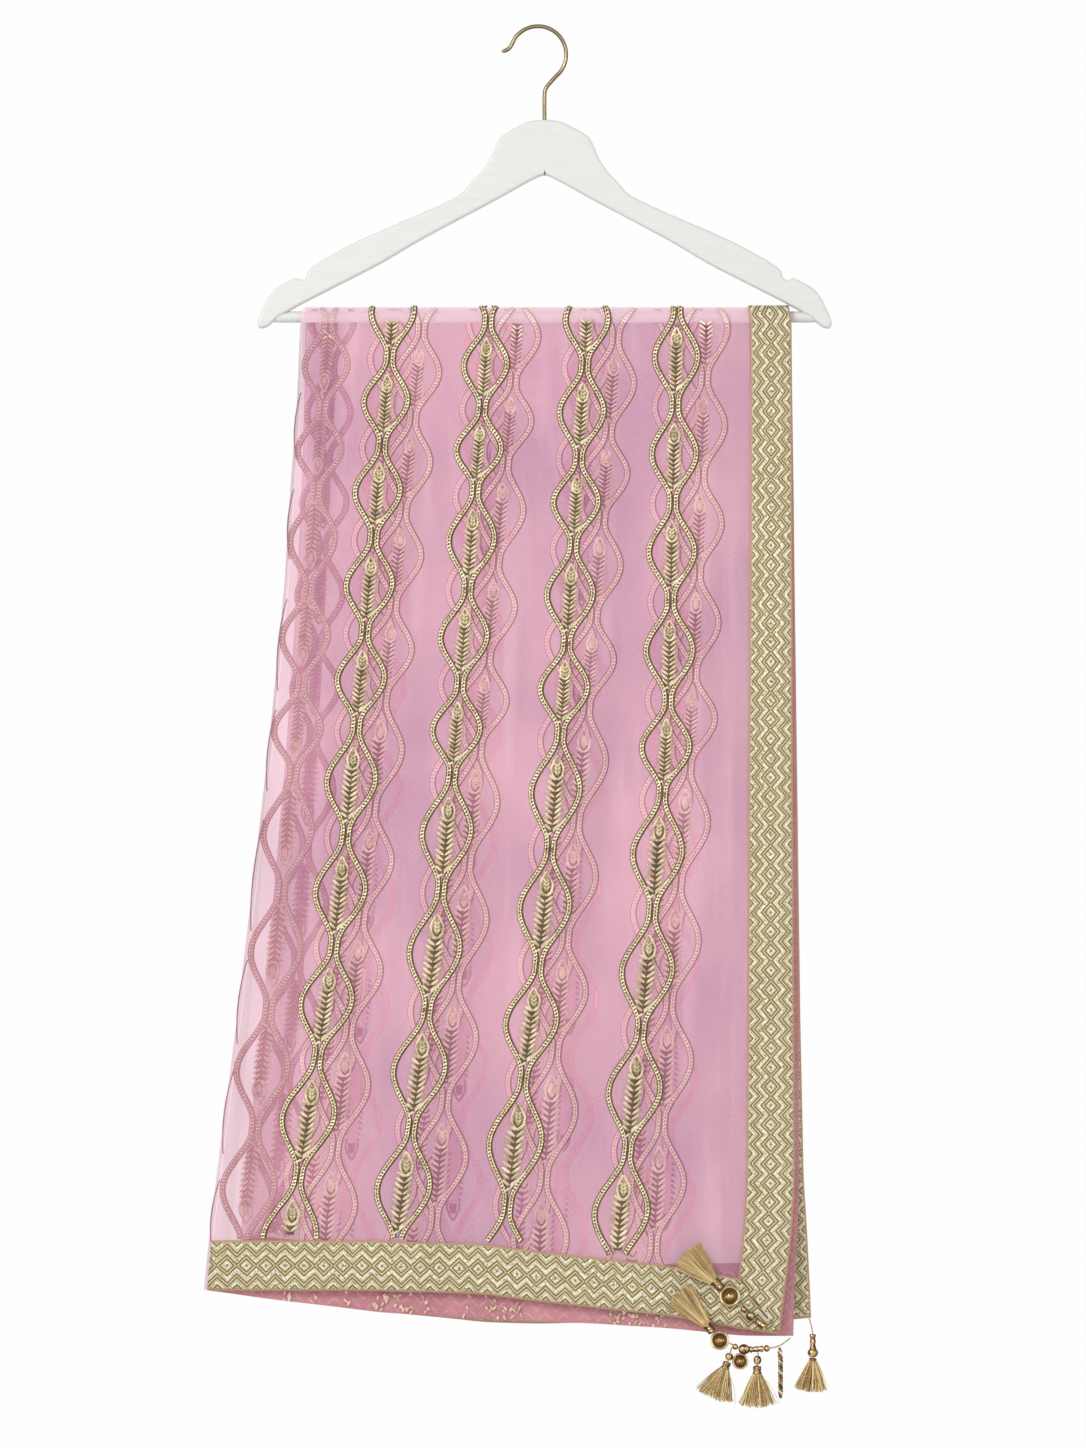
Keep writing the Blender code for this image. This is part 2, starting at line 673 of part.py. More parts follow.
    def add_sprig(self, points, faces, ring, start, stop):
        """A spindle-shaped sprig that grows out of the band's inner side."""
        shares = SPRIG_PLACES
        if not self.sprigs_up:
            shares = [1.0 - share for share in SPRIG_PLACES]
        period = stop - start
        end = self.section_depths()[-1]
        first = len(points)
        halves = (SPRIG_FOOT_HALF_WIDTH, SPRIG_HALF_WIDTH)
        for share, half, rise in zip(shares, halves, (SPRIG_FOOT_HEIGHT, SPRIG_HEIGHT)):
            depth = start + period * share
            x = self.middle_x(depth)
            points.append(self.lay(x - half, depth, BAND_LIFT))
            points.append(self.lay(x + half, depth, BAND_LIFT))
            ridge = half * SPRIG_RIDGE_SHARE
            points.append(self.lay(x + ridge, depth, BAND_LIFT + rise))
            points.append(self.lay(x - ridge, depth, BAND_LIFT + rise))
        if self.sprigs_up:
            corners = (ring[0], ring[1], ring[2], ring[3])
        else:
            corners = (ring[1], ring[0], ring[3], ring[2])
        rings = (corners, tuple(range(first, first + 4)), tuple(range(first + 4, first + 8)))
        for low, high in zip(rings, rings[1:]):
            for k in range(4):
                n = (k + 1) % 4
                faces.append((low[k], low[n], high[n], high[k]))
        tip = len(points)
        tip_depth = min(start + period * shares[2], end)
        points.append(self.lay(self.middle_x(tip_depth), tip_depth, BAND_LIFT + 0.4))
        for k in range(4):
            faces.append((rings[2][k], rings[2][(k + 1) % 4], tip))

    def build(self):
        self.build_band(-1)
        self.build_band(1)


def split_face(face):
    """Triangles of a face."""
    if len(face) == 3:
        return [face]
    return [(face[0], face[k], face[k + 1]) for k in range(1, len(face) - 1)]


# Tassels and beads

def frame_along(direction):
    """Unit vectors along a direction, sideways in the hanging plane, and towards the front."""
    along = Vector((direction[0], 0.0, direction[1])).normalized()
    front = Vector((0.0, -1.0, 0.0))
    return along, along.cross(front).normalized(), front


def build_tassel(name, head, direction, length, width, head_radius, head_length, y):
    """A bound head with strands that fan out flat; every strand's root is part of the head."""
    along, sideways, front = frame_along(direction)
    top = Vector((head[0], y, head[1]))
    points = []
    ring_radii = (head_radius * 0.55, head_radius, head_radius, head_radius * 0.8, head_radius)
    ring_places = (0.0, 0.12, 0.55, 0.72, 1.0)
    around = STRANDS_AROUND
    for radius, share in zip(ring_radii, ring_places):
        for k in range(around):
            angle = 2 * math.pi * k / around
            offset = sideways * math.cos(angle) + front * math.sin(angle)
            points.append(top + along * head_length * share + offset * radius)
    faces = [tuple(range(around))]
    for ring in range(len(ring_radii) - 1):
        for k in range(around):
            a, b = ring * around + k, ring * around + (k + 1) % around
            faces.append((a, b, b + around, a + around))
    base = top + along * head_length
    outer = (len(ring_radii) - 1) * around
    for ring in range(1, STRAND_RINGS + 1):
        radius = head_radius * (1.0 - ring / (STRAND_RINGS + 0.6))
        inner = len(points)
        for k in range(around):
            angle = 2 * math.pi * (k + 0.5 * ring) / around
            offset = sideways * math.cos(angle) + front * math.sin(angle)
            points.append(base + offset * radius)
        for k in range(around):
            n = (k + 1) % around
            faces.append((outer + n, inner + k, inner + n))
            add_strand(points, faces, (outer + k, outer + n, inner + k), base,
                       (along, sideways, front), length, width, head_radius)
        outer = inner
    faces.append(tuple(range(outer, outer + around)))
    work = [split for face in faces for split in split_face(face)]
    add_solid(name, points, work, "tassel_thread", smooth_angle=0.9)


def add_strand(points, faces, root, base, axes, length, width, head_radius):
    """A three-sided strand that leaves the head from one small triangle."""
    along, sideways, front = axes
    centre = (points[root[0]] + points[root[1]] + points[root[2]]) / 3 - base
    side_share = centre.dot(sideways) / head_radius
    front_share = centre.dot(front) / head_radius
    spread = width / 2
    rings = [root]
    for reach, scale in ((0.45, 0.95), (1.0, 0.75)):
        fan = reach ** 0.9
        target = base + along * (length * reach * (1.0 - 0.10 * side_share ** 2))
        target += sideways * (side_share * (head_radius + (spread - head_radius) * fan))
        target += front * (front_share * (head_radius + (STRAND_DEPTH_SPREAD - head_radius) * fan))
        first = len(points)
        for corner in root:
            offset = points[corner] - base - centre
            points.append(target + offset * scale)
        rings.append((first, first + 1, first + 2))
    for low, high in zip(rings, rings[1:]):
        for k in range(3):
            n = (k + 1) % 3
            faces.append((low[k], low[n], high[n], high[k]))
    faces.append(rings[-1])


def build_disc(name, centre, radius, y):
    """A round medallion bead with a raised rim and a half ball in its middle."""
    sides = 14
    thickness = DISC_THICKNESS
    profile = (
        (radius * 0.90, thickness / 2), (radius, thickness * 0.15), (radius * 0.97, -thickness * 0.3),
        (radius * 0.86, -thickness / 2), (radius * 0.74, -thickness * 0.1),
        (radius * 0.48, -thickness * 0.1), (radius * 0.40, -thickness * 0.75),
        (radius * 0.20, -thickness * 1.05),
    )
    points = []
    for ring_radius, out in profile:
        for k in range(sides):
            angle = 2 * math.pi * k / sides
            points.append((centre[0] + ring_radius * math.cos(angle), y + out,
                           centre[1] + ring_radius * math.sin(angle)))
    add_solid(name, points, tube_faces(len(profile), sides), "antique_gold")


def bead_rings(centre_share, half_share, radius, thread):
    """Rings of one bead on a string: share along the string and radius."""
    return (
        (centre_share - half_share, thread), (centre_share - half_share * 0.8, radius * 0.8),
        (centre_share, radius), (centre_share + half_share * 0.8, radius * 0.8),
        (centre_share + half_share, thread),
    )


def build_string(name, path, beads, thread=0.7):
    """A thread with beads on it, as one solid. A bead is a share of the way, a share of the
    string's length for half of the bead, and a radius."""
    path = [Vector(p) for p in path]
    lengths = [0.0]
    for start, end in zip(path, path[1:]):
        lengths.append(lengths[-1] + (end - start).length)
    total = lengths[-1]
    rings = [(0.0, thread), (1.0, thread)]
    rings += [(length / total, None) for length in lengths[1:-1]]
    for bead in beads:
        rings.extend(bead_rings(*bead, thread))
    rings.sort(key=lambda ring: ring[0])
    kept = []
    for share, radius in rings:
        if radius is None and any(abs(share - bead[0]) < bead[1] for bead in beads):
            continue
        if kept and share - kept[-1][0] < 0.004:
            continue
        kept.append((share, thread if radius is None else radius))
    places = []
    for share, _ in kept:
        distance = share * total
        k = min(int(np.searchsorted(lengths, distance, side="right")) - 1, len(path) - 2)
        part = (distance - lengths[k]) / (lengths[k + 1] - lengths[k])
        places.append(path[k].lerp(path[k + 1], part))
    swept_tube(name, places, [radius for _, radius in kept], 6, "antique_gold")


def build_cloth():
    """Four plies, their lace, and the embroidery on the two plies that face outwards."""
    front = Ply("front_outer", -1, False, "front_left", "front_outer_right", 20)
    front_inner = Ply("front_inner", -1, True, "front_left", "front_inner_right", 14)
    back = Ply("back_outer", 1, False, "back_left", "back_outer_right", 20)
    back_inner = Ply("back_inner", 1, True, "back_left", "back_inner_right", 14)
    for ply in (front, front_inner, back_inner, back):
        ply.build()
        ply.build_lace()
    for ply, columns, necks, up in (
        (front, FRONT_COLUMNS, FRONT_NECKS, True),
        (back, BACK_COLUMNS, BACK_NECKS, False),
    ):
        tree = ply.face_tree(PLY_WALL / 2)
        for key, middles in columns.items():
            Column(ply, tree, key, middles, necks[key], up).build()
    return front


class LaceFront:
    """The foremost surface of the front ply with its lace, which the trimmings lie on."""

    def __init__(self, ply):
        self.tree = ply.face_tree(PLY_WALL / 2 + LAY_GAP + LACE_WALL)

    def rest_y(self, x, depth, reach, half_thickness):
        """Place in y of a thing that rests on the lace, for its reach around a point."""
        foremost = []
        for across in (-reach, 0.0, reach):
            for down in (-reach, 0.0, reach):
                start = Vector((x + across, -200.0, -(depth + down)))
                hit = self.tree.ray_cast(start, Vector((0, 1, 0)))[0]
                if hit is not None:
                    foremost.append(hit.y)
        return min(foremost) - LAY_GAP - half_thickness


def build_trimmings(front):
    """Bead strings, medallions and tassels of the lower right corners."""
    lace = LaceFront(front)

    disc_radius, low_disc_radius, last_disc_radius = 8.6, 7.7, 6.6
    disc_back = DISC_THICKNESS / 2
    tassel_y = lace.rest_y(138.0, 998.0, 8.0, 4.2)
    disc_y = min(lace.rest_y(152.8, 1012.6, disc_radius, disc_back), tassel_y + 1.2)
    build_disc("medallion_front", (152.8, -1012.6), disc_radius, disc_y)
    bead_y = disc_y - 1.6
    build_string(
        "bead_string_front",
        ((187.6, lace.rest_y(187.6, 1039.0, 2.0, 0.9), -1039.6), (179.2, bead_y, -1035.8),
         (167.0, bead_y, -1026.4), (159.8, disc_y - 0.4, -1018.9)),
        ((0.34, 0.09, 2.0), (0.62, 0.075, 2.7), (0.83, 0.06, 1.7)),
    )
    build_tassel("tassel_front", (146.32, -1006.43), (-25.6, 24.4), 34.0, 29.0, 3.6, 9.0,
                 tassel_y)

    low_y = -16.4
    build_disc("medallion_inner", (144.8, -1047.8), low_disc_radius, low_y)
    build_string(
        "bead_string_inner",
        ((201.6, -6.6, -1047.0), (192.0, -10.6, -1053.0), (177.0, low_y, -1054.6),
         (160.8, low_y, -1054.4), (152.6, low_y, -1049.8)),
        ((0.42, 0.035, 2.0), (0.58, 0.085, 1.9), (0.76, 0.07, 3.0), (0.90, 0.035, 1.7)),
    )
    build_tassel("tassel_inner", (139.4, -1041.6), (-27.6, 31.6), 37.0, 25.0, 3.4, 8.0,
                 lace.rest_y(126.0, 1020.0, 9.0, 4.4))

    build_disc("medallion_low", (161.2, -1064.4), last_disc_radius, low_y + 0.6)
    build_string(
        "bead_drop_left", ((154.4, low_y, -1053.4), (151.4, low_y, -1064.2)), ((0.68, 0.22, 2.4),),
    )
    build_tassel("tassel_left", (151.2, -1064.5), (-10.4, -27.2), 27.5, 33.0, 3.3, 6.0, low_y)
    build_string(
        "bead_drop_middle", ((175.4, low_y, -1057.4), (174.6, low_y, -1067.4)), ((0.6, 0.3, 2.3),),
    )
    build_tassel("tassel_middle", (174.6, -1067.7), (0.4, -28.8), 28.5, 30.0, 3.4, 6.6, low_y)

    braid_steps = 12
    braid_path = [
        (192.8 + 0.8 * smooth_step(k / 3.0), -10.4, -1054.4 - 40.0 * k / braid_steps)
        for k in range(braid_steps + 1)
    ]
    braid_radii = [0.9] + [2.1] * (braid_steps - 1) + [1.0]
    swept_tube("braid_drop", braid_path, braid_radii, 4, "antique_gold", twist=0.8)

    back_y = 6.2
    build_string(
        "bead_string_back",
        ((217.4, back_y, -1032.9), (219.8, back_y, -1043.0), (220.3, back_y, -1064.0)),
        ((0.60, 0.16, 1.9), (0.88, 0.10, 3.1)),
    )
    build_tassel("tassel_back", (220.3, -1064.3), (-1.6, -28.0), 26.5, 27.0, 3.0, 2.5, back_y)


clear_scene()
build_hanger_body()
bar_cylinder("hanger_bar", BAR_RADIUS, BAR_HALF_LENGTH)
build_hook()
build_trimmings(build_cloth())
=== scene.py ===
# %% [markdown]
# # A sheer embroidered stole on a hanger
# The solid model gives us the big shapes. In this lesson we dress it: a sheer cloth in four plies, a
# woven gold border, corded embroidery, beads and tassels, and a painted hanger. We start by opening the
# solid model and by writing down how large it is.

# %% Open the solid model
import math

import bpy
import numpy as np
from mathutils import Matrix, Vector
from mathutils.geometry import tessellate_polygon


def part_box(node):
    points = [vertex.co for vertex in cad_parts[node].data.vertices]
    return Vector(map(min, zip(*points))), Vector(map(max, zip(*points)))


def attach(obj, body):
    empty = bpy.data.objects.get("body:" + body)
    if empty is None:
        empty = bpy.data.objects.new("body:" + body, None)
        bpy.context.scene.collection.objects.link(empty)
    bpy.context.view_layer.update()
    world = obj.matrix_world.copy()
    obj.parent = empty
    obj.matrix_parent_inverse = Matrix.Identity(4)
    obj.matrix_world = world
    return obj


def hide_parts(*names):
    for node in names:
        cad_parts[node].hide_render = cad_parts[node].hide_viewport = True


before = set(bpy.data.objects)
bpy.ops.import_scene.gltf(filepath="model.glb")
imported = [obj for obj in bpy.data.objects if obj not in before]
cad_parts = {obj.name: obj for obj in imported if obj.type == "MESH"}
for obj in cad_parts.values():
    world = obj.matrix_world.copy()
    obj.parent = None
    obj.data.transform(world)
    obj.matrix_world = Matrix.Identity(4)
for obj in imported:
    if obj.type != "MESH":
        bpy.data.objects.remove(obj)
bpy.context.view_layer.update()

MM = 0.001
TURN = 2.0 * math.pi
print("solid pieces in the model:", len(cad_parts))

# %% [markdown]
# ## The measures of the hanging cloth
# A hanging stole isn't a rectangle: its long fold swings out to the left and its hem dips to the right.
# We keep the same tables that the solid model was cut from, all in millimetres, so that the fine cloth
# lies on its form. A depth is a distance straight down from the hook.

# %% Tables of edges and hems
BAR_DEPTH = 231.0
BAR_RADIUS = 4.5
OUTER_RADIUS = 7.9  # the outer ply on the bar
OUTER_Y = 11.0  # the outer ply where it hangs free
PITCH_AT_BAR = 1.3  # from ply to ply
PITCH_HANGING = 5.5
SPREAD_BELOW_BAR = 70.0
ROUNDING = 8.0  # corners of the tables are rounded over this reach

EDGE_NAMES = (
    "depth", "front_left", "front_outer_right", "front_inner_right",
    "back_left", "back_inner_right", "back_outer_right",
)
EDGES = np.array((
    (222.0, -188.3, 199.3, 199.3, -186.0, 199.3, 199.3),
    (231.0, -189.6, 202.4, 202.4, -186.4, 202.4, 202.4),
    (300.0, -192.6, 202.6, 203.2, -187.5, 203.6, 203.0),
    (370.0, -198.0, 202.7, 203.8, -190.0, 204.6, 203.6),
    (446.0, -202.6, 202.8, 204.6, -193.5, 205.4, 204.4),
    (570.0, -214.7, 203.0, 206.0, -201.5, 207.0, 205.6),
    (697.0, -229.4, 203.6, 207.4, -212.5, 208.6, 207.0),
    (800.0, -241.6, 204.4, 208.4, -222.5, 210.0, 208.4),
    (921.0, -257.2, 204.8, 208.8, -234.5, 212.6, 210.4),
    (961.0, -262.2, 202.6, 207.4, -238.0, 215.2, 211.6),
    (1012.0, -267.3, 196.8, 204.8, -242.5, 217.8, 213.4),
    (1046.0, -268.0, 192.0, 204.0, -245.0, 219.0, 214.6),
))
HEM_NAMES = ("x", "front_outer", "front_inner", "back_inner", "back_outer")
HEMS = np.array((
    (-268.0, 1008.6, 1008.8, 1005.0, 1001.0),
    (-208.0, 1008.6, 1016.8, 1014.0, 1009.0),
    (-126.0, 1008.8, 1026.6, 1027.0, 1019.0),
    (-43.0, 1011.6, 1032.2, 1035.6, 1026.0),
    (0.0, 1017.2, 1034.0, 1036.6, 1028.5),
    (50.0, 1023.0, 1036.0, 1036.0, 1030.0),
    (102.0, 1028.4, 1039.2, 1034.6, 1030.0),
    (160.0, 1039.0, 1045.2, 1034.2, 1029.0),
    (204.0, 1044.6, 1045.4, 1033.4, 1027.5),
    (220.0, 1045.0, 1045.4, 1031.8, 1027.0),
))
# name: which way it faces (-1 is the front), whether it is the inner ply, its left and right edge
PLIES = {
    "front_outer": (-1, False, "front_left", "front_outer_right"),
    "front_inner": (-1, True, "front_left", "front_inner_right"),
    "back_inner": (1, True, "back_left", "back_inner_right"),
    "back_outer": (1, False, "back_left", "back_outer_right"),
}
print("plies of cloth:", ", ".join(PLIES))

# %% Curves between the measured places
def smooth_step(value):
    """Ease from 0 to 1."""
    value = np.clip(value, 0.0, 1.0)
    return value * value * (3.0 - 2.0 * value)


def eased(value, places, sizes, reach):
    """Read a table with its corners rounded over a reach to each side."""
    total = 0.0
    for share in (-1.0, -0.5, 0.0, 0.5, 1.0):
        total = total + np.interp(value + share * reach, places, sizes)
    return total / 5.0


def edge_x(name, depth):
    """Side edge of a ply at a depth."""
    return eased(depth, EDGES[:, 0], EDGES[:, EDGE_NAMES.index(name)], ROUNDING)


def hem_depth(ply, x):
    """Depth of a ply's hem."""
    return eased(x, HEMS[:, 0], HEMS[:, HEM_NAMES.index(ply)], ROUNDING)


print("hem at the middle of each ply:", {ply: round(float(hem_depth(ply, 0.0)), 1) for ply in PLIES})


# %% [markdown]
# ## Folds and creases
# Sheer cloth hangs in wide soft waves, and where it was folded in the parcel it keeps a few faint
# creases. A real crease fades at both ends and no two are alike, so each is given one by one: where it
# starts and ends, how wide it is and how deep.

# %% Waves and creases
WAVE_HEIGHT = 3.6
# x and depth of the upper end, x and depth of the lower end, half width, height (towards the back)
CREASES = (
    (-60.0, 245.0, -104.0, 640.0, 7.0, 1.7),
    (-22.0, 250.0, -62.0, 520.0, 6.0, -1.4),
    (8.0, 260.0, -36.0, 905.0, 9.0, 1.8),
    (58.0, 240.0, 40.0, 610.0, 7.0, -1.5),
    (84.0, 330.0, 30.0, 960.0, 10.0, 2.0),
    (146.0, 240.0, 118.0, 820.0, 8.0, -1.8),
    (162.0, 420.0, 150.0, 1000.0, 9.0, 1.7),
    (-150.0, 250.0, -178.0, 560.0, 7.0, 1.5),
    (-128.0, 520.0, -170.0, 930.0, 9.0, -1.8),
    (-168.0, 640.0, -228.0, 1000.0, 8.0, 1.8),
    (-84.0, 640.0, -150.0, 1010.0, 9.0, 1.5),
    (-10.0, 620.0, -72.0, 1000.0, 8.0, -1.5),
    (120.0, 640.0, 92.0, 1015.0, 8.0, 1.5),
    (178.0, 300.0, 176.0, 760.0, 6.0, 1.2),
    (-262.0, 950.0, -264.0, 1010.0, 3.5, 2.0),
    (-251.0, 940.0, -253.0, 1010.0, 3.0, -1.8),
    (-207.0, 930.0, -211.0, 1010.0, 4.0, 2.2),
    (-178.0, 950.0, -181.0, 1010.0, 3.5, -1.8),
    (-82.0, 940.0, -86.0, 1014.0, 4.0, 2.0),
    (54.0, 950.0, 51.0, 1024.0, 4.0, -2.0),
)


def creases(x, depth):
    """Height of all creases at a place."""
    total = np.zeros(np.broadcast(x, depth).shape)
    for x0, d0, x1, d1, width, height in CREASES:
        run_x, run_d = x1 - x0, d1 - d0
        length = math.hypot(run_x, run_d)
        along = ((x - x0) * run_x + (depth - d0) * run_d) / length**2
        away = ((x - x0) * run_d - (depth - d0) * run_x) / length
        fade = np.sin(math.pi * np.clip(along, 0.0, 1.0)) ** 0.8
        total = total + height * fade * np.exp(-((away / width) ** 2))
    return total


def waves(x, depth):
    """Wide waves that all plies share: none on the bar, deepest below it, shallow at the hem."""
    left = edge_x("front_left", depth)
    right = edge_x("front_outer_right", depth)
    across = (x - left) / (right - left)
    below = depth - BAR_DEPTH
    rise = smooth_step(below / 95.0)
    fade = 1.0 - 0.45 * np.clip(below / 800.0, 0.0, 1.0)
    wave = 0.62 * np.sin(TURN * (4.6 * across + 0.10) + below / 900.0)
    wave = wave + 0.38 * np.sin(TURN * (2.7 * across + 0.45) - below / 420.0)
    return WAVE_HEIGHT * rise * fade * wave + rise * creases(x, depth)


print("creases placed by hand:", len(CREASES))


# %% [markdown]
# ## A point of the cloth
# Everything sewn to the cloth has to follow it, so one function gives any point of a ply: across by x,
# down by depth, and lifted off the cloth by a little. Above the bar's middle a depth means a place on the
# round of the bar.

# %% Points and lifted points
def hang(side, inward, x, depth):
    """Points of the cloth's middle surface, a distance inward from the outer ply."""
    below = depth - BAR_DEPTH
    spread = smooth_step(below / SPREAD_BELOW_BAR)
    turn = np.arccos(np.clip(-below / OUTER_RADIUS, 0.0, 1.0))
    radius = OUTER_RADIUS - inward
    hanging = side * (OUTER_RADIUS + (OUTER_Y - OUTER_RADIUS) * spread - inward) + waves(x, depth)
    y = np.where(below < 0.0, side * radius * np.sin(turn), hanging)
    z = np.where(below < 0.0, -BAR_DEPTH + radius * np.cos(turn), -depth)
    return np.stack(np.broadcast_arrays(x, y, z), axis=-1)


def ply_pitch(depth):
    """Distance between the outer and the inner ply."""
    spread = smooth_step((depth - BAR_DEPTH) / SPREAD_BELOW_BAR)
    return PITCH_AT_BAR + (PITCH_HANGING - PITCH_AT_BAR) * spread


def on_ply(ply, x, depth, lift):
    """Points lifted off a ply, away from the bar where lift is positive."""
    side, inner, _, _ = PLIES[ply]
    inward = ply_pitch(depth) if inner else 0.0
    here = hang(side, inward, x, depth)
    slope_x = (waves(x + 1.0, depth) - waves(x - 1.0, depth)) / 2.0
    slope_d = (waves(x, depth + 1.0) - waves(x, depth - 1.0)) / 2.0
    below = depth - BAR_DEPTH
    turn = np.arccos(np.clip(-below / OUTER_RADIUS, 0.0, 1.0))
    on_bar = below < 0.0
    nx = np.where(on_bar, 0.0, -side * slope_x)
    ny = np.where(on_bar, side * np.sin(turn), side)
    nz = np.where(on_bar, np.cos(turn), side * slope_d)
    normal = np.stack(np.broadcast_arrays(nx, ny, nz), axis=-1)
    normal = normal / np.linalg.norm(normal, axis=-1, keepdims=True)
    return here + normal * np.asarray(lift)[..., None]


print("a point 1 mm off the front:", on_ply("front_outer", 0.0, 600.0, 1.0).round(2))


# %% [markdown]
# ## From arrays to pieces
# Thousands of stitches are made as arrays of points and joined into one mesh for each piece. A Parts list
# collects them, and each part brings its own finish and its own coordinates for the pattern on it.

# %% Collect parts and make one piece of them
class Parts:
    """Points, faces, pattern coordinates and finishes of one piece."""

    def __init__(self):
        self.points, self.faces, self.pattern, self.finish = [], [], [], []
        self.count = 0

    def add(self, points, faces, pattern, finish=0):
        """Add points (n, 3), faces (m, 3 or 4), pattern coordinates (n, 2) and one finish or one a face."""
        points = np.asarray(points, float).reshape(-1, 3)
        faces = np.asarray(faces, int)
        self.points.append(points)
        self.pattern.append(np.asarray(pattern, float).reshape(-1, 2))
        self.faces.append(faces + self.count)
        self.finish.append(np.full(len(faces), finish))
        self.count += len(points)

    def triangles(self):
        return int(sum(len(faces) * (faces.shape[1] - 2) for faces in self.faces))


def make_piece(name, parts, finishes, replaced=()):
    """One mesh that rides on the model and takes the place of solid nodes."""
    mesh = bpy.data.meshes.new(name)
    points = np.concatenate(parts.points) * MM
    corners = np.concatenate([faces.ravel() for faces in parts.faces])
    sizes = np.concatenate([np.full(len(faces), faces.shape[1]) for faces in parts.faces])
    starts = np.concatenate([[0], np.cumsum(sizes)[:-1]])
    mesh.vertices.add(len(points))
    mesh.vertices.foreach_set("co", points.ravel())
    mesh.loops.add(len(corners))
    mesh.loops.foreach_set("vertex_index", corners.astype(np.int32))
    mesh.polygons.add(len(starts))
    mesh.polygons.foreach_set("loop_start", starts.astype(np.int32))
    mesh.polygons.foreach_set("material_index", np.concatenate(parts.finish).astype(np.int32))
    mesh.update(calc_edges=True)
    pattern = mesh.uv_layers.new(name="pattern")
    pattern.data.foreach_set("uv", np.concatenate(parts.pattern)[corners].ravel())
    mesh.validate()
    mesh.shade_smooth()
    for finish in finishes:
        mesh.materials.append(finish)
    piece = bpy.data.objects.new(name, mesh)
    bpy.context.scene.collection.objects.link(piece)
    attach(piece, "root")
    if replaced:
        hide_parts(*replaced)
    print(f"{name}: {parts.triangles()} triangles")
    return piece


def grid_faces(rows, columns, closed=False):
    """Faces of a grid of points; closed joins the last column to the first."""
    i = np.arange(rows - 1)[:, None]
    j = np.arange(columns if closed else columns - 1)[None, :]
    n = (j + 1) % columns
    faces = np.stack(np.broadcast_arrays(
        i * columns + j, i * columns + n, (i + 1) * columns + n, (i + 1) * columns + j), axis=-1)
    return faces.reshape(-1, 4)


def grid_pattern(across, along):
    """Pattern coordinates for a grid: across for each column, along for each row."""
    a, b = np.meshgrid(across, along)
    return np.stack((a, b), axis=-1)


# %% [markdown]
# ## Finishes
# Each finish is a node material that grows its own pattern: threads, grain, stitches and wear. The sheer
# cloth is the one see-through finish. Its alpha is one plain number, so that the plies tint whatever lies
# behind them.

# %% Nodes in short calls
BLACK, WHITE = (0.0, 0.0, 0.0), (1.0, 1.0, 1.0)


class Nodes:
    """Short calls that add nodes to one tree and link them."""

    def __init__(self, tree):
        self.nodes, self.links = tree.nodes, tree.links

    def feed(self, value, socket):
        """Link a socket, or set its number or colour."""
        if hasattr(value, "is_linked"):
            self.links.new(value, socket)
        else:
            socket.default_value = (*value, 1.0) if isinstance(value, tuple) else value

    def math(self, operation, *values):
        """One step of arithmetic on one to three values."""
        node = self.nodes.new("ShaderNodeMath")
        node.operation = operation
        for value, socket in zip(values, node.inputs):
            self.feed(value, socket)
        return node.outputs[0]

    def sine(self, value, pace):
        """A wave from -1 to 1."""
        return self.math("SINE", self.math("MULTIPLY", value, pace))

    def wave(self, value, pace):
        """A wave from 0 to 1."""
        return self.math("MULTIPLY_ADD", self.sine(value, pace), 0.5, 0.5)

    def place(self, stretch=None):
        """Real places in metres, stretched along each axis if asked."""
        real = self.nodes.new("ShaderNodeTexCoord").outputs["Object"]
        if stretch is None:
            return real
        node = self.nodes.new("ShaderNodeMapping")
        node.inputs["Scale"].default_value = stretch
        self.links.new(real, node.inputs["Vector"])
        return node.outputs["Vector"]

    def noise(self, scale, detail=3.0, stretch=None):
        """Soft irregular values."""
        node = self.nodes.new("ShaderNodeTexNoise")
        node.inputs["Scale"].default_value = scale
        node.inputs["Detail"].default_value = detail
        self.links.new(self.place(stretch), node.inputs["Vector"])
        return node.outputs["Fac"]

    def ramp(self, value, *stops):
        """Turn a value into a colour by stops of (place, colour)."""
        node = self.nodes.new("ShaderNodeValToRGB")
        elements = node.color_ramp.elements
        for index, (place, colour) in ((0, stops[0]), (1, stops[-1])):
            elements[index].position = place
            elements[index].color = (*colour, 1.0)
        for place, colour in stops[1:-1]:
            elements.new(place).color = (*colour, 1.0)
        self.links.new(value, node.inputs["Fac"])
        return node.outputs["Color"]

    def mix(self, share, first, second):
        """Mix two colours."""
        node = self.nodes.new("ShaderNodeMix")
        node.data_type = "RGBA"
        for value, index in ((share, 0), (first, 6), (second, 7)):
            self.feed(value, node.inputs[index])
        return node.outputs[2]


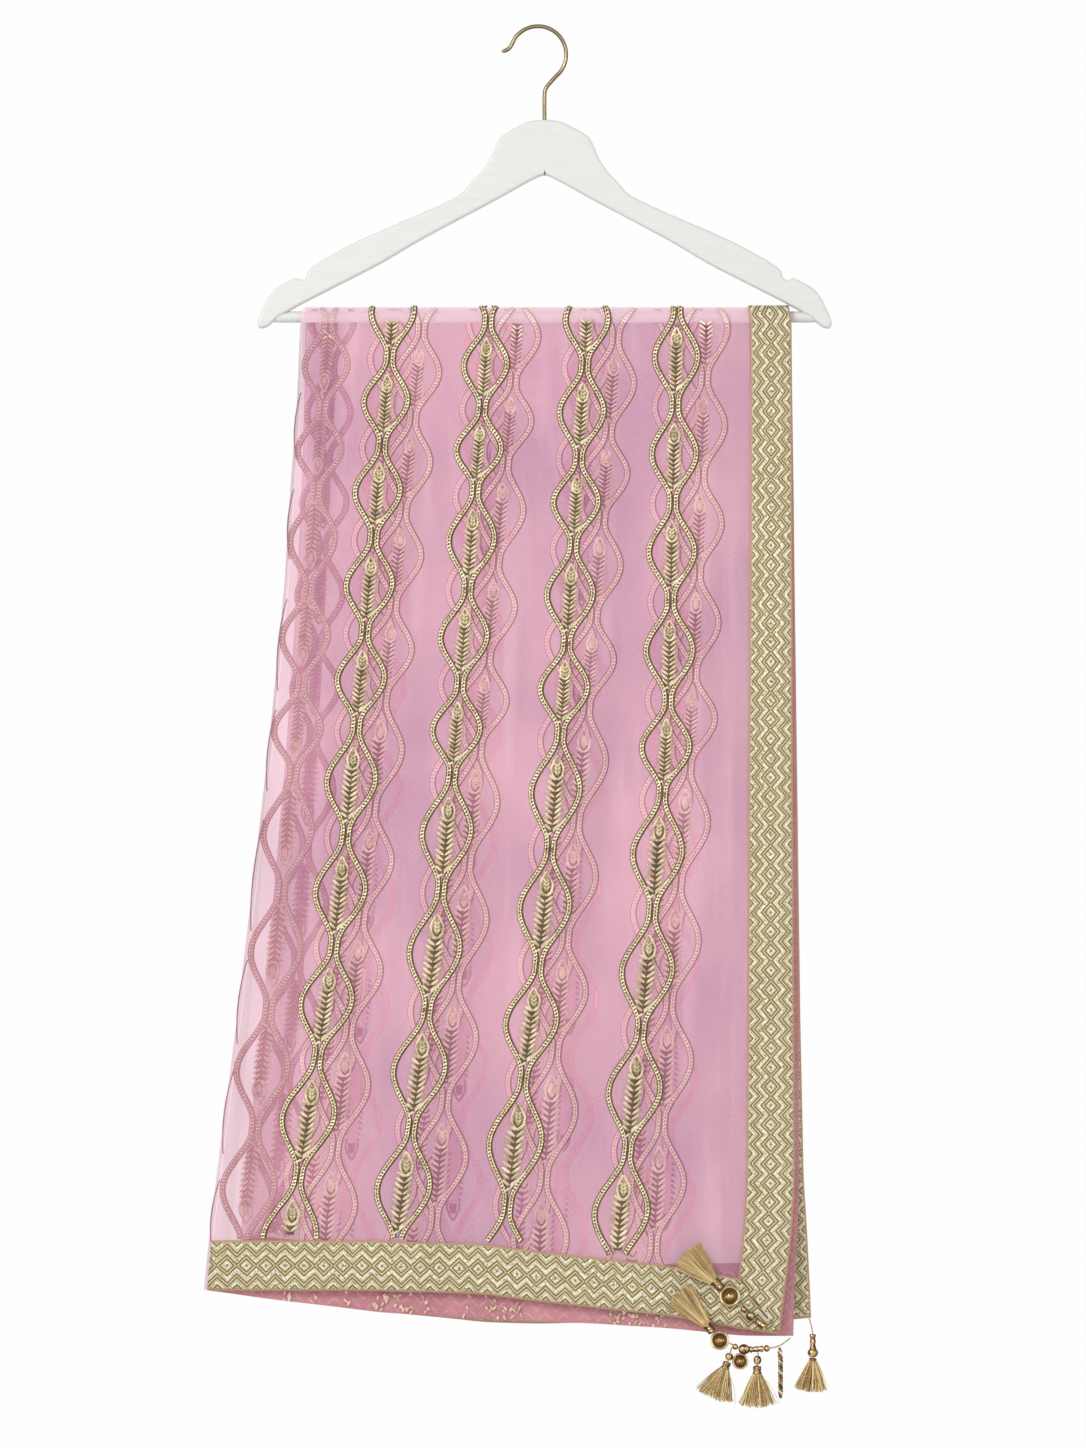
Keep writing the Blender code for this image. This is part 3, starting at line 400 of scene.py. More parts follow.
# %% A finish
class Finish(Nodes):
    """A material with one Principled shader."""

    def __init__(self, name, roughness, metallic=0.0, alpha=1.0, sheen=0.0, coat=0.0, glow=None):
        self.material = bpy.data.materials.new(name)
        self.material.use_nodes = True
        super().__init__(self.material.node_tree)
        self.shader = self.nodes["Principled BSDF"]
        settings = {"Roughness": roughness, "Metallic": metallic, "Alpha": alpha,
                    "Sheen Weight": sheen, "Coat Weight": coat}
        if glow:
            settings["Emission Color"], settings["Emission Strength"] = (*glow[0], 1.0), glow[1]
        for socket, value in settings.items():
            self.shader.inputs[socket].default_value = value
        print("finish:", name)

    def pattern(self):
        """The two pattern coordinates of a piece."""
        node = self.nodes.new("ShaderNodeUVMap")
        node.uv_map = "pattern"
        split = self.nodes.new("ShaderNodeSeparateXYZ")
        self.links.new(node.outputs["UV"], split.inputs[0])
        return split.outputs["X"], split.outputs["Y"]

    def paint(self, colour):
        """Put a colour on the shader."""
        self.links.new(colour, self.shader.inputs["Base Color"])

    def relief(self, height, depth, strength):
        """Raise or sink the surface by a height pattern, at most by a depth in metres."""
        bump = self.nodes.new("ShaderNodeBump")
        bump.inputs["Strength"].default_value = strength
        bump.inputs["Distance"].default_value = depth
        self.links.new(height, bump.inputs["Height"])
        self.links.new(bump.outputs["Normal"], self.shader.inputs["Normal"])


# %% The sheer cloth's finish
def sheer_finish():
    """Pink organza: fine threads both ways, uneven in tint, and painted shade in a strip beside the fold
    where four plies lie.
    """
    finish = Finish("sheer pink organza", 0.55, alpha=0.36, sheen=0.12)
    across, down = finish.pattern()
    tint = finish.ramp(finish.noise(7.0, 5.0), (0.32, (0.50, 0.17, 0.33)), (0.50, (0.61, 0.25, 0.38)),
                       (0.68, (0.72, 0.33, 0.44)))
    streak = finish.noise(1.0, 3.0, stretch=(60.0, 60.0, 7.0))
    light_streak = finish.ramp(streak, (0.50, BLACK), (0.70, (0.55, 0.55, 0.55)))
    tint = finish.mix(light_streak, tint, (0.86, 0.47, 0.60))
    # painted shade: a darker strip beside the fold at the left, where four plies lie
    fold_strip_shade = finish.math("LESS_THAN", finish.math("MULTIPLY_ADD", down, 0.084, across), -164.0)
    from_edge = finish.math("MULTIPLY_ADD", down, 0.0716, across)
    rise = finish.math("MULTIPLY_ADD", from_edge, 0.05, 9.3)
    rise = finish.math("MAXIMUM", finish.math("MINIMUM", rise, 0.85), 0.0)
    tint = finish.mix(finish.math("MULTIPLY", fold_strip_shade, rise), tint, (0.40, 0.17, 0.185))
    # painted light: the cloth over the bar is painted paler, for the white bar that shows through it
    on_bar = finish.math("LESS_THAN", down, BAR_DEPTH + 5.0)
    tint = finish.mix(on_bar, tint, (0.92, 0.62, 0.72))
    weave = finish.math("MULTIPLY", finish.sine(across, 9.0), finish.sine(down, 9.0))
    finish.paint(finish.mix(finish.math("MULTIPLY_ADD", weave, 0.05, 0.06), tint, (0.80, 0.45, 0.62)))
    finish.relief(weave, 0.0001, 0.08)
    return finish.material


sheer_pink = sheer_finish()

# %% The woven border's finish
DIAMOND_HALF_PITCH = 7.7
FINE_LINE_PITCH = 0.148
# each bold line, outwards from a diamond's middle: where it starts, is full, is last full and ends
BOLD_LINES = ((0.050, 0.058, 0.112, 0.122), (0.345, 0.355, 0.420, 0.430), (0.690, 0.700, 0.770, 0.780))


def border_finish(name, gold, brown, cream, glint, grey, shadow, selvage, metallic):
    """Concentric diamonds along the middle that open into zigzags towards both edges."""
    finish = Finish(name, 0.42, metallic=metallic)
    across, along = finish.pattern()
    along = finish.math("ADD", along, finish.math("MULTIPLY", finish.noise(26.0, 1.0), 2.6))
    from_middle = finish.math("ABSOLUTE", across)
    from_diamond = finish.math("PINGPONG", along, DIAMOND_HALF_PITCH)
    step = finish.math("MULTIPLY_ADD", from_diamond, 0.048, from_middle)
    fine_line = finish.wave(step, TURN / FINE_LINE_PITCH)
    lines = finish.ramp(fine_line, (0.26, brown), (0.52, gold), (0.78, gold), (0.95, glint))
    stops = [(0.0, BLACK)]
    for places in BOLD_LINES:
        stops += zip(places, (BLACK, WHITE, WHITE, BLACK))
    bold = finish.ramp(finish.math("DIVIDE", step, 1.4), *stops)
    unbroken = finish.math("GREATER_THAN", finish.noise(620.0, 1.0), 0.385)
    lines = finish.mix(finish.math("MULTIPLY", bold, unbroken), lines, cream)
    lines = finish.mix(finish.math("LESS_THAN", step, 0.066), lines, grey)
    thread = finish.sine(finish.math("ADD", along, finish.math("MULTIPLY", across, 20.0)), 4.6)
    speck = finish.math("MULTIPLY_ADD", finish.noise(900.0, 2.0), 2.6, -1.05)
    fine = finish.math("MAXIMUM", finish.math("MULTIPLY_ADD", thread, 0.14, speck), 0.0)
    woven = finish.mix(finish.math("MINIMUM", fine, 0.75), lines, shadow)
    edge_colour = finish.ramp(finish.wave(along, 4.0), (0.0, selvage[0]), (1.0, selvage[1]))
    bordered = finish.mix(finish.math("GREATER_THAN", from_middle, 0.925), woven, edge_colour)
    finish.paint(finish.mix(finish.math("MULTIPLY", finish.noise(60.0, 5.0), 0.20), bordered, gold))
    bright = finish.nodes.new("ShaderNodeRGBToBW")
    finish.links.new(bordered, bright.inputs[0])
    finish.relief(finish.math("MULTIPLY_ADD", thread, 0.15, bright.outputs[0]), 0.0009, 0.8)
    return finish.material


gold_border = border_finish(
    "woven gold border", gold=(0.60, 0.49, 0.235), brown=(0.085, 0.055, 0.018), cream=(1.0, 0.98, 0.85),
    glint=(0.86, 0.78, 0.53), grey=(0.20, 0.195, 0.13), shadow=(0.24, 0.175, 0.07),
    selvage=((0.44, 0.24, 0.13), (0.70, 0.43, 0.26)), metallic=0.25)
border_back = border_finish(
    "border seen from its back", gold=(0.64, 0.31, 0.24), brown=(0.52, 0.20, 0.18), cream=(0.84, 0.50, 0.36),
    glint=(0.76, 0.38, 0.29), grey=(0.60, 0.26, 0.22), shadow=(0.52, 0.21, 0.18),
    selvage=((0.50, 0.20, 0.16), (0.74, 0.36, 0.26)), metallic=0.0)

# %% Finishes of cord and thread
def cord_finish(name, light, dark, shadow, glow=None, metallic=0.35):
    """Couched metal cord: slanting turns of thread, a dark couching thread in the groove at each pace, and
    painted shade along both rims.
    """
    finish = Finish(name, 0.38, metallic=metallic, glow=glow)
    across, along = finish.pattern()
    turns = finish.wave(finish.math("MULTIPLY_ADD", across, 0.8, along), 2.4)
    body = finish.ramp(turns, (0.05, dark), (0.42, light), (1.0, light))
    from_groove = finish.math("ABSOLUTE", across)
    in_groove = finish.math("LESS_THAN", from_groove, 0.34)
    on_beat = finish.math("GREATER_THAN", finish.sine(along, 2.15), 0.05)
    # painted shade: a dark line along both rims of the cord
    rim = finish.math("GREATER_THAN", from_groove, 0.82)
    stitch_and_rim_shade = finish.math("MAXIMUM", finish.math("MULTIPLY", in_groove, on_beat), rim)
    worn = finish.math("MULTIPLY_ADD", finish.noise(420.0), 2.4, -0.95)
    aged = finish.mix(finish.math("MAXIMUM", worn, 0.0), body, dark)
    finish.paint(finish.mix(stitch_and_rim_shade, aged, shadow))
    finish.relief(finish.math("SUBTRACT", turns, stitch_and_rim_shade), 0.0005, 0.6)
    return finish.material


def thread_finish(name, light, dark, roughness=0.6, metallic=0.0, glow=None):
    """Thread wound in fine turns, darker here and there."""
    finish = Finish(name, roughness, metallic=metallic, glow=glow)
    along = finish.pattern()[1]
    value = finish.math("MULTIPLY_ADD", finish.sine(along, 5.0), 0.22, finish.noise(140.0))
    finish.paint(finish.ramp(value, (0.25, dark), (0.62, light)))
    finish.relief(value, 0.0003, 0.5)
    return finish.material


def glowing(strength):
    """Painted light: a thread behind sheer cloth gets a faint glow of its own, so it shows as pale as a
    thread lit from all round.
    """
    return (1.0, 0.80, 0.66), strength


# %% Cords and threads of each ply
gold_cord = cord_finish("couched gold cord", (0.98, 0.87, 0.61), (0.34, 0.23, 0.10), (0.08, 0.04, 0.02))
gold_grain = thread_finish("gold leaf stitches", (0.93, 0.81, 0.53), (0.18, 0.115, 0.045), 0.45, 0.2)
cream_thread = thread_finish("cream stem thread", (0.86, 0.80, 0.60), (0.56, 0.44, 0.24), 0.4, 0.15)
# this finish also paints shade: the ribbons under the bands, the beads and spines between grains, and the
# slot in the hanger
dark_tie_and_shade = thread_finish("dark tie thread and painted shade", (0.24, 0.125, 0.08), (0.08, 0.04, 0.025))
tip_thread = thread_finish("olive tip thread", (0.46, 0.38, 0.19), (0.20, 0.15, 0.07), 0.45, 0.2)
# painted light: a pale ribbon that glows of its own, under the bands and spines
glowing_under_thread = thread_finish("pale glowing thread under the stitches", (1.0, 0.84, 0.82), (0.86, 0.62, 0.62), 0.7,
                             glow=((1.0, 0.88, 0.86), 0.62))

# painted light: these threads behind one ply glow a little of their own
seen_cord = cord_finish("gold cord seen through pink",
                        (0.97, 0.85, 0.68), (0.52, 0.33, 0.23), (0.24, 0.09, 0.08), glowing(0.17), 0.0)
seen_grain = thread_finish("leaf stitches seen through pink", (0.97, 0.80, 0.62), (0.34, 0.16, 0.12),
                           glow=glowing(0.10))
seen_stem = thread_finish("stem thread seen through pink", (1.0, 0.70, 0.56), (0.80, 0.48, 0.36))
# painted shade: dark ribbons and beads under and between the threads behind one ply
seen_shade = thread_finish("painted shade seen through pink", (0.25, 0.08, 0.10), (0.13, 0.04, 0.05), 0.7)

# painted light: these threads behind two plies glow more of their own
far_cord = cord_finish("gold cord behind two plies",
                       (0.98, 0.88, 0.72), (0.66, 0.40, 0.30), (0.16, 0.05, 0.05), glowing(0.48), 0.0)
far_grain = thread_finish("leaf stitches behind two plies", (1.0, 0.86, 0.72), (0.46, 0.20, 0.15),
                          glow=((1.0, 0.80, 0.68), 0.34))
# painted shade: dark ribbons and beads under and between the threads behind two plies
far_shade = thread_finish("painted shade behind two plies", (0.14, 0.04, 0.05), (0.07, 0.02, 0.03), 0.7)

# painted light: the cord at the fold glows faintly of its own
fold_cord = cord_finish("dull gold cord at the fold",
                        (0.80, 0.62, 0.50), (0.42, 0.24, 0.18), (0.20, 0.08, 0.08), glowing(0.05), 0.0)
fold_grain = thread_finish("dull leaf stitches at the fold", (0.82, 0.62, 0.48), (0.30, 0.14, 0.11))
fold_shade = thread_finish("soft shade at the fold", (0.50, 0.25, 0.26), (0.38, 0.17, 0.18), 0.7)
hem_grain = thread_finish("pale stitches at the hem", (0.95, 0.76, 0.58), (0.34, 0.17, 0.10), 0.45, 0.1)
mauve_cord = thread_finish("mauve edge cord", (0.42, 0.20, 0.27), (0.20, 0.08, 0.13))

# %% [markdown]
# ## The four plies of cloth
# The stole is one length of organza, folded in half along its length and hung over the bar, so four plies
# hang behind each other. Each ply is a fine grid of points. The two outer plies also carry the rounded
# fold at the left, where the cloth turns back to the inner ply.

# %% Build the cloth
CLOTH_COLUMNS, CLOTH_ROWS = 112, 140
SETTLING_ROUNDS = 5  # x and depth depend on each other, and settle in a few rounds


def ply_rows(count):
    """Shares of the way down; those on the round of the bar are negative."""
    on_bar = -np.cos(np.radians((1.5, 15.0, 30.0, 45.0, 60.0, 75.0)))
    return np.concatenate([on_bar, np.linspace(0.0, 1.0, count)])


def left_start(ply, depth):
    """Where a ply begins beside the fold; the inner one keeps a hair's breadth away from it."""
    _, inner, left, _ = PLIES[ply]
    return edge_x(left, depth) + ply_pitch(depth) / 2.0 + (0.6 if inner else 0.0)


def place_rows(ply, rows, shares, stop_short=0.0):
    """x and depth of a grid on a ply; stop_short ends each column above the hem by that much."""
    right = PLIES[ply][3]
    rows = np.asarray(rows)[:, None]
    shares = np.asarray(shares)[None, :]
    x = np.zeros(np.broadcast(rows, shares).shape)
    for _ in range(SETTLING_ROUNDS):
        end = hem_depth(ply, x) - stop_short
        depth = np.where(rows < 0.0, BAR_DEPTH + OUTER_RADIUS * rows, BAR_DEPTH + (end - BAR_DEPTH) * rows)
        start = left_start(ply, depth)
        x = start + (edge_x(right, depth) - start) * shares
    return x, depth


def add_ply(parts, ply):
    """The ply's grid and, on an outer ply, the fold that turns back at the left."""
    side, inner, _, _ = PLIES[ply]
    x, depth = place_rows(ply, ply_rows(CLOTH_ROWS), np.linspace(0.0, 1.0, CLOTH_COLUMNS))
    inward = ply_pitch(depth) if inner else 0.0
    points = hang(side, inward, x, depth)
    pattern = np.stack((x, depth), axis=-1)
    if not inner:
        turn = np.radians(np.arange(180.0, 0.0, -22.5))[None, :]
        radius = ply_pitch(depth[:, :1]) / 2.0
        fold_x = x[:, :1] - radius * np.sin(turn)
        fold_depth = np.broadcast_to(depth[:, :1], fold_x.shape)
        fold = hang(side, radius - radius * np.cos(turn), fold_x, fold_depth)
        points = np.concatenate([fold, points], axis=1)
        pattern = np.concatenate([np.stack((fold_x, fold_depth), axis=-1), pattern], axis=1)
    parts.add(points, grid_faces(points.shape[0], points.shape[1]), pattern)


cloth_parts = Parts()
for ply in PLIES:
    add_ply(cloth_parts, ply)
cloth = make_piece("sheer_stole", cloth_parts, [sheer_pink], tuple(PLIES))

# %% [markdown]
# ## The gold border
# The border is bought as a woven strip and sewn along the side edge and the hem, and its corner is
# mitred: each strip is cut at a slant so that they meet in one line. It is a thin shell lying just above
# the cloth. The inner plies turn their right side inwards, so there the border shows its wrong side, and
# the face next to the cloth gets a duller, pinker finish.

# %% Build the border strips
LACE_START = 0.9165  # share of the ply's width where the side strip begins
LACE_WIDTH = 40.0
STRIP_LIFTS = (0.75, 1.55)  # its two faces above the cloth
STRIP_ACROSS = np.linspace(0.0, 1.0, 9)


def add_shell(parts, near, far, pattern, finish):
    """A thin closed sheet between two grids, with one finish for the near side and one for the rest."""
    rows, columns = near.shape[:2]
    faces = grid_faces(rows, columns)
    count = rows * columns
    order = np.arange(count).reshape(rows, columns)
    rim = np.concatenate([order[0], order[1:, -1], order[-1, -2::-1], order[-2:0:-1, 0]])
    turned = np.roll(rim, -1)
    walls = np.stack((rim, turned, turned + count, rim + count), axis=-1)
    points = np.concatenate([near.reshape(-1, 3), far.reshape(-1, 3)])
    both = np.concatenate([pattern.reshape(-1, 2), pattern.reshape(-1, 2)])
    finishes = np.repeat(finish, (len(faces), len(faces) + len(walls)))
    parts.add(points, np.concatenate([faces[:, ::-1], faces + count, walls]), both, finishes)


def add_strip(ply, strip, x, depth, along):
    """One strip of border, from its wrong side on the cloth to its right side."""
    inner = PLIES[ply][1]
    lifts = [-lift if inner else lift for lift in STRIP_LIFTS]
    near, far = (on_ply(ply, x, depth, lift) for lift in lifts)
    pattern = np.stack(np.broadcast_arrays(STRIP_ACROSS[None, :] * 2.0 - 1.0, along), axis=-1)
    parts = Parts()
    add_shell(parts, near, far, pattern, (1, 0) if inner else (0, 0))
    node = f"{ply}_lace_{strip}"
    make_piece(f"{ply}_border_{strip}", parts, [gold_border, border_back], (node,))


def border_strips(ply):
    """Side strip and hem strip of one ply; both end on the slant of the mitred corner."""
    right = PLIES[ply][3]
    shares = LACE_START + (1.0 - LACE_START) * STRIP_ACROSS
    short = LACE_WIDTH * (1.0 - STRIP_ACROSS)[None, :]
    x, depth = place_rows(ply, ply_rows(170), shares, short)
    add_strip(ply, "side", x, depth, depth)

    share = np.linspace(0.0, 1.0, 96)[:, None] * shares[None, :]
    x = np.zeros(share.shape)
    for _ in range(SETTLING_ROUNDS):
        depth = hem_depth(ply, x) - short
        start = left_start(ply, depth)
        x = start + (edge_x(right, depth) - start) * share
    add_strip(ply, "hem", x, depth, x)


for ply in PLIES:
    border_strips(ply)

# %% [markdown]
# ## The corded embroidery
# Columns of two wavy bands run down the stole. They swing apart into lenses and meet again at necks, and
# in each lens stands a leafy sprig. A band is a couched cord of two rails. We draw every part of it in
# cloth coordinates, across and down, and let the cloth function lift it into place.

# %% Lines of the columns
COLUMN_DEPTHS = (225.0, 560.0, 740.0, 930.0, 990.0)
FRONT_MIDDLES = {
    "a": (-115.0, -145.0, -163.0, -193.0, -203.0),
    "b": (-38.5, -65.0, -82.5, -108.0, -116.0),
    "c": (40.0, 18.6, 1.6, -23.5, -30.0),
    "d": (111.2, 103.4, 88.5, 68.0, 61.0),
}
BACK_MIDDLES = {
    "a": (-115.0, -128.0, -138.0, -152.0, -157.0),
    "b": (-38.5, -50.0, -58.0, -67.0, -71.0),
    "c": (40.0, 33.0, 28.0, 19.0, 15.0),
    "d": (111.2, 110.0, 108.0, 103.0, 100.0),
}
FRONT_NECKS = {
    "a": (190, 264, 334, 408, 483, 558, 645, 734, 822, 917, 1014),
    "b": (165, 235, 305, 370, 449, 525, 597, 689, 785, 879, 974, 1070),
    "c": (197, 270, 345, 414, 492, 564, 656, 749, 839, 941, 1040),
    "d": (150, 225, 302, 380, 458, 538, 612, 706, 801, 897, 995),
}
BACK_NECKS = {
    "a": (186, 257, 330, 406, 485, 567, 652, 740, 831, 925, 1022),
    "b": (215, 290, 365, 443, 524, 608, 695, 785, 878, 974, 1072),
    "c": (178, 250, 323, 399, 478, 560, 645, 733, 824, 918, 1015),
    "d": (222, 298, 373, 451, 532, 616, 703, 793, 886, 982, 1080),
}
NECK_HALF_GAP = 2.6
NECK_SHARE = 0.05  # of a lens, at each end
LENS_HALF_WIDTH = 17.0
LENS_WIDENING = 4.5  # by the hem


class Line:
    """One embroidered column on a ply: its middle line, its necks and its place off the cloth."""

    def __init__(self, ply, middles, necks, upward, shift=(0.0,) * 5, half_step=False, face=1.0):
        self.ply = ply
        self.sign = face
        self.middles = [middle + move for middle, move in zip(middles, shift)]
        necks = [float(neck) for neck in necks]
        if half_step:
            necks = [(first + second) / 2.0 for first, second in zip(necks, necks[1:])]
            necks = [2.0 * necks[0] - necks[1]] + necks + [2.0 * necks[-1] - necks[-2]]
        self.necks = np.array(necks)
        self.upward = upward
        middle = float(self.middle(970.0))
        hems = [float(hem_depth(ply, middle + reach)) for reach in (-24.0, 0.0, 24.0)]
        self.end = min(hems) - LACE_WIDTH - 2.0

    def middle(self, depth):
        return eased(depth, COLUMN_DEPTHS, self.middles, 40.0)

    def half_width(self, depth):
        lens = np.clip(np.searchsorted(self.necks, depth, side="right") - 1, 0, len(self.necks) - 2)
        start, end = self.necks[lens], self.necks[lens + 1]
        share = np.clip(((depth - start) / (end - start) - NECK_SHARE) / (1.0 - 2.0 * NECK_SHARE), 0.0, 1.0)
        swell = np.sin(math.pi * share) ** 2
        widest = LENS_HALF_WIDTH + LENS_WIDENING * (depth - BAR_DEPTH) / 800.0
        return NECK_HALF_GAP + (widest - NECK_HALF_GAP) * swell**0.85

    def lenses(self):
        """Necks above and below of each lens that shows whole or in part."""
        for start, end in zip(self.necks, self.necks[1:]):
            if end > BAR_DEPTH + 25.0 and start < self.end - 12.0:
                yield start, end


print("columns:", len(FRONT_MIDDLES), "on the front and", len(BACK_MIDDLES), "on the back")

# %% Draw ribbons and stamps on the cloth
def add_ribbon(parts, line, x, depth, profile, finish, closed=False):
    """Sweep a profile of (across, lift) along a path on the cloth."""
    x, depth = np.asarray(x, float), np.asarray(depth, float)
    run_x, run_d = np.gradient(x), np.gradient(depth)
    length = np.hypot(run_x, run_d) + 1e-9
    side_x, side_d = run_d / length, -run_x / length
    on_bar = depth < BAR_DEPTH
    side_x = np.where(on_bar, 1.0, side_x)
    side_d = np.where(on_bar, 0.0, side_d)
    across = np.array([place for place, _ in profile])
    lift = np.array([up for _, up in profile]) * line.sign
    grid_x = x[:, None] + side_x[:, None] * across[None, :]
    grid_d = depth[:, None] + side_d[:, None] * across[None, :]
    points = on_ply(line.ply, grid_x, grid_d, np.broadcast_to(lift[None, :], grid_x.shape))
    along = np.concatenate([[0.0], np.cumsum(np.hypot(np.diff(x), np.diff(depth)))])
    wide = np.abs(across).max()
    pattern = grid_pattern(across / wide, along)
    parts.add(points, grid_faces(len(x), len(across), closed), pattern, finish)


def round_profile(radius, lift, sides=6):
    """Profile of a round thread whose middle is at a lift."""
    turn = TURN * np.arange(sides) / sides
    return [(radius * math.cos(a), lift + radius * math.sin(a)) for a in turn]


def grain_shape(rings, sides):
    """A grain one unit long and one wide: points (along, across, up) and faces."""
    points = [(-0.5, 0.0, 0.0)]
    for ring in range(1, rings):
        angle = math.pi * ring / rings
        for k in range(sides):
            turn = TURN * k / sides
            points.append((-0.5 * math.cos(angle), 0.5 * math.sin(angle) * math.cos(turn),
                           0.5 * math.sin(angle) * math.sin(turn)))
    points.append((0.5, 0.0, 0.0))
    faces = []
    last = len(points) - 1
    for k in range(sides):
        n = (k + 1) % sides
        faces.append((0, 1 + n, 1 + k))
        faces.append((last, last - sides + k, last - sides + n))
        for ring in range(rings - 2):
            a, b = 1 + ring * sides, 1 + (ring + 1) * sides
            faces.append((a + k, a + n, b + n))
            faces.append((a + k, b + n, b + k))
    return np.array(points), np.array(faces)


FINE_GRAIN = grain_shape(5, 7)
PLAIN_GRAIN = grain_shape(4, 5)
DOT = grain_shape(3, 5)
print("triangles of a leaf grain:", len(FINE_GRAIN[1]))


def add_stamps(parts, line, shape, stamps, finish):
    """Copies of a shape: each stamp is x, depth, direction (x, depth), length, width, height, lift."""
    points, faces = shape
    stamps = np.array(stamps, float)
    x, depth, dir_x, dir_d, length, width, height, lift = stamps.T
    size = np.hypot(dir_x, dir_d)
    dir_x, dir_d = dir_x / size, dir_d / size
    a = points[None, :, 0] * length[:, None]
    b = points[None, :, 1] * width[:, None]
    up = points[None, :, 2] * height[:, None] + lift[:, None]
    grid_x = x[:, None] + dir_x[:, None] * a - dir_d[:, None] * b
    grid_d = depth[:, None] + dir_d[:, None] * a + dir_x[:, None] * b
    placed = on_ply(line.ply, grid_x, grid_d, up * line.sign)
    pattern = np.stack((b, a + np.arange(len(stamps))[:, None] * 3.7), axis=-1)
    count = len(points)
    all_faces = (faces[None] + (np.arange(len(stamps)) * count)[:, None, None]).reshape(-1, 3)
    parts.add(placed, all_faces, pattern, finish)


# %% A wavy band
# profiles of (across, lift): two round rails with a groove between them
BAND_PROFILE = (
    (-1.9, 0.25), (-1.8, 1.0), (-1.2, 1.6), (-0.5, 1.25), (0.0, 0.85),
    (0.5, 1.25), (1.2, 1.6), (1.8, 1.0), (1.9, 0.25),
)
LIGHT_PROFILE = ((-1.9, 0.25), (-1.1, 1.3), (0.0, 0.75), (1.1, 1.3), (1.9, 0.25))
# painted light: pale glowing ribbons lie under the bands on these plies
UNDER_BAND = {"back_outer": (2.9, 0.10), "front_outer": (2.4, 0.08)}  # half width and lift
SHADE_SHIFT = 0.35  # the painted shade under a band peeps out a little more on the right, away from the lamp
CORD, GRAIN, STEM, TIE_AND_SHADE, TIP, UNDER = range(6)
OUTER_FINISHES = [gold_cord, gold_grain, cream_thread, dark_tie_and_shade, tip_thread, glowing_under_thread]
SEEN_FINISHES = [seen_cord, seen_grain, seen_stem, seen_shade, seen_grain]
FAR_FINISHES = [far_cord, far_grain, seen_stem, far_shade, far_grain]
FOLD_FINISHES = [fold_cord, fold_grain, fold_grain, fold_shade, fold_grain]


def flat_profile(half, lift):
    """Profile of a flat ribbon."""
    return ((-half, lift), (half, lift))


def add_band(parts, line, hand, step, profile):
    """A wavy band from the top of the bar to the hem border, with a dark ribbon of painted shade under it
    that shows at its edges, and on some plies a pale glowing ribbon beneath.
    """
    over_bar = BAR_DEPTH - OUTER_RADIUS * np.cos(np.radians((7.0, 22.0, 38.0, 54.0, 70.0)))
    depth = np.concatenate([over_bar, np.arange(BAR_DEPTH, line.end, step), [line.end]])
    x = line.middle(depth) + hand * line.half_width(depth)
    add_ribbon(parts, line, x, depth, profile, CORD)
    # painted shade: a dark ribbon under the band, a little to the right
    add_ribbon(parts, line, x + SHADE_SHIFT, depth, flat_profile(2.6, 0.18), TIE_AND_SHADE)
    if line.ply in UNDER_BAND:
        add_ribbon(parts, line, x + SHADE_SHIFT, depth, flat_profile(*UNDER_BAND[line.ply]), UNDER)


# %% [markdown]
# ## The leafy sprigs
# A sprig is stitched grain by grain: two rows of slanting grains on a dark spine of painted shade, a pointed
# tip at its head and a bent stem at its foot. No two real grains lie quite the same, so each is turned and
# moved a little, from one seeded source of chance.

# %% A sprig's tip and stem
random = np.random.default_rng(7)


def add_tip(parts, line, tip, up, size, grain):
    """A loop of thread round a seed, with three small grains at each side."""
    middle = float(line.middle(tip))
    turn = np.linspace(0.0, TURN, 21)
    pointed = 1.0 - 0.62 * np.clip(np.cos(turn), 0.0, 1.0)
    x = middle + 4.0 * size * np.sin(turn) * pointed
    depth = tip - up * 7.6 * size * np.cos(turn)
    add_ribbon(parts, line, x, depth, round_profile(0.95, 1.35), GRAIN, closed=True)
    seed = (middle, tip + up * 1.3, 0.0, 1.0, 9.5 * size, 5.2 * size, 1.6, 0.8)
    add_stamps(parts, line, grain, [seed], TIP)
    for hand in (-1.0, 1.0):
        add_stamps(parts, line, grain, [
            (middle + hand * 1.3, tip + up * (0.5 + 3.0 * k), hand, -up * 1.3, 3.8, 1.6, 1.4, 1.5)
            for k in range(-1, 2)], GRAIN)


def add_stem(parts, line, top, foot):
    """A stem that crosses the lens on a bend, from one band to the other."""
    share = np.linspace(0.0, 1.0, 13)
    depth = foot + (top - foot) * (share**1.35)
    start = -0.95 * float(line.half_width(np.array(foot)))
    end = 0.92 * float(line.half_width(np.array(top)))
    x = line.middle(depth) + start + (end - start) * share
    add_ribbon(parts, line, x, depth, round_profile(0.85, 1.3), STEM, closed=True)


# %% A whole sprig
SPRIG_ROWS = 10
USUAL_LENS = 76.0  # length of the lens that the grains' measures are for


def add_leaves(parts, line, rows, up, size, grain):
    """Rows of slanting grains; returns the dark beads of painted shade that lie between the rows."""
    grains, beads = [], []
    for row, depth in rows:
        middle = float(line.middle(depth))
        bulge = 0.82 + 0.30 * math.sin(math.pi * (row + 1.4) / (SPRIG_ROWS + 1.6))
        for hand in (-1.0, 1.0):
            wobble = random.uniform(-0.12, 0.12)
            long = 6.7 * size * bulge
            grains.append((middle + hand * 0.40 * long, depth - up * 1.4 + wobble, hand, -up * 0.80 + wobble,
                           long, 2.05 * size, 2.0, 1.35))
        beads.append((middle + random.uniform(-0.3, 0.3), depth + up * 1.7, 0.0, 1.0, 2.9, 2.1, 1.7, 1.75))
    add_stamps(parts, line, grain, grains, GRAIN)
    return beads


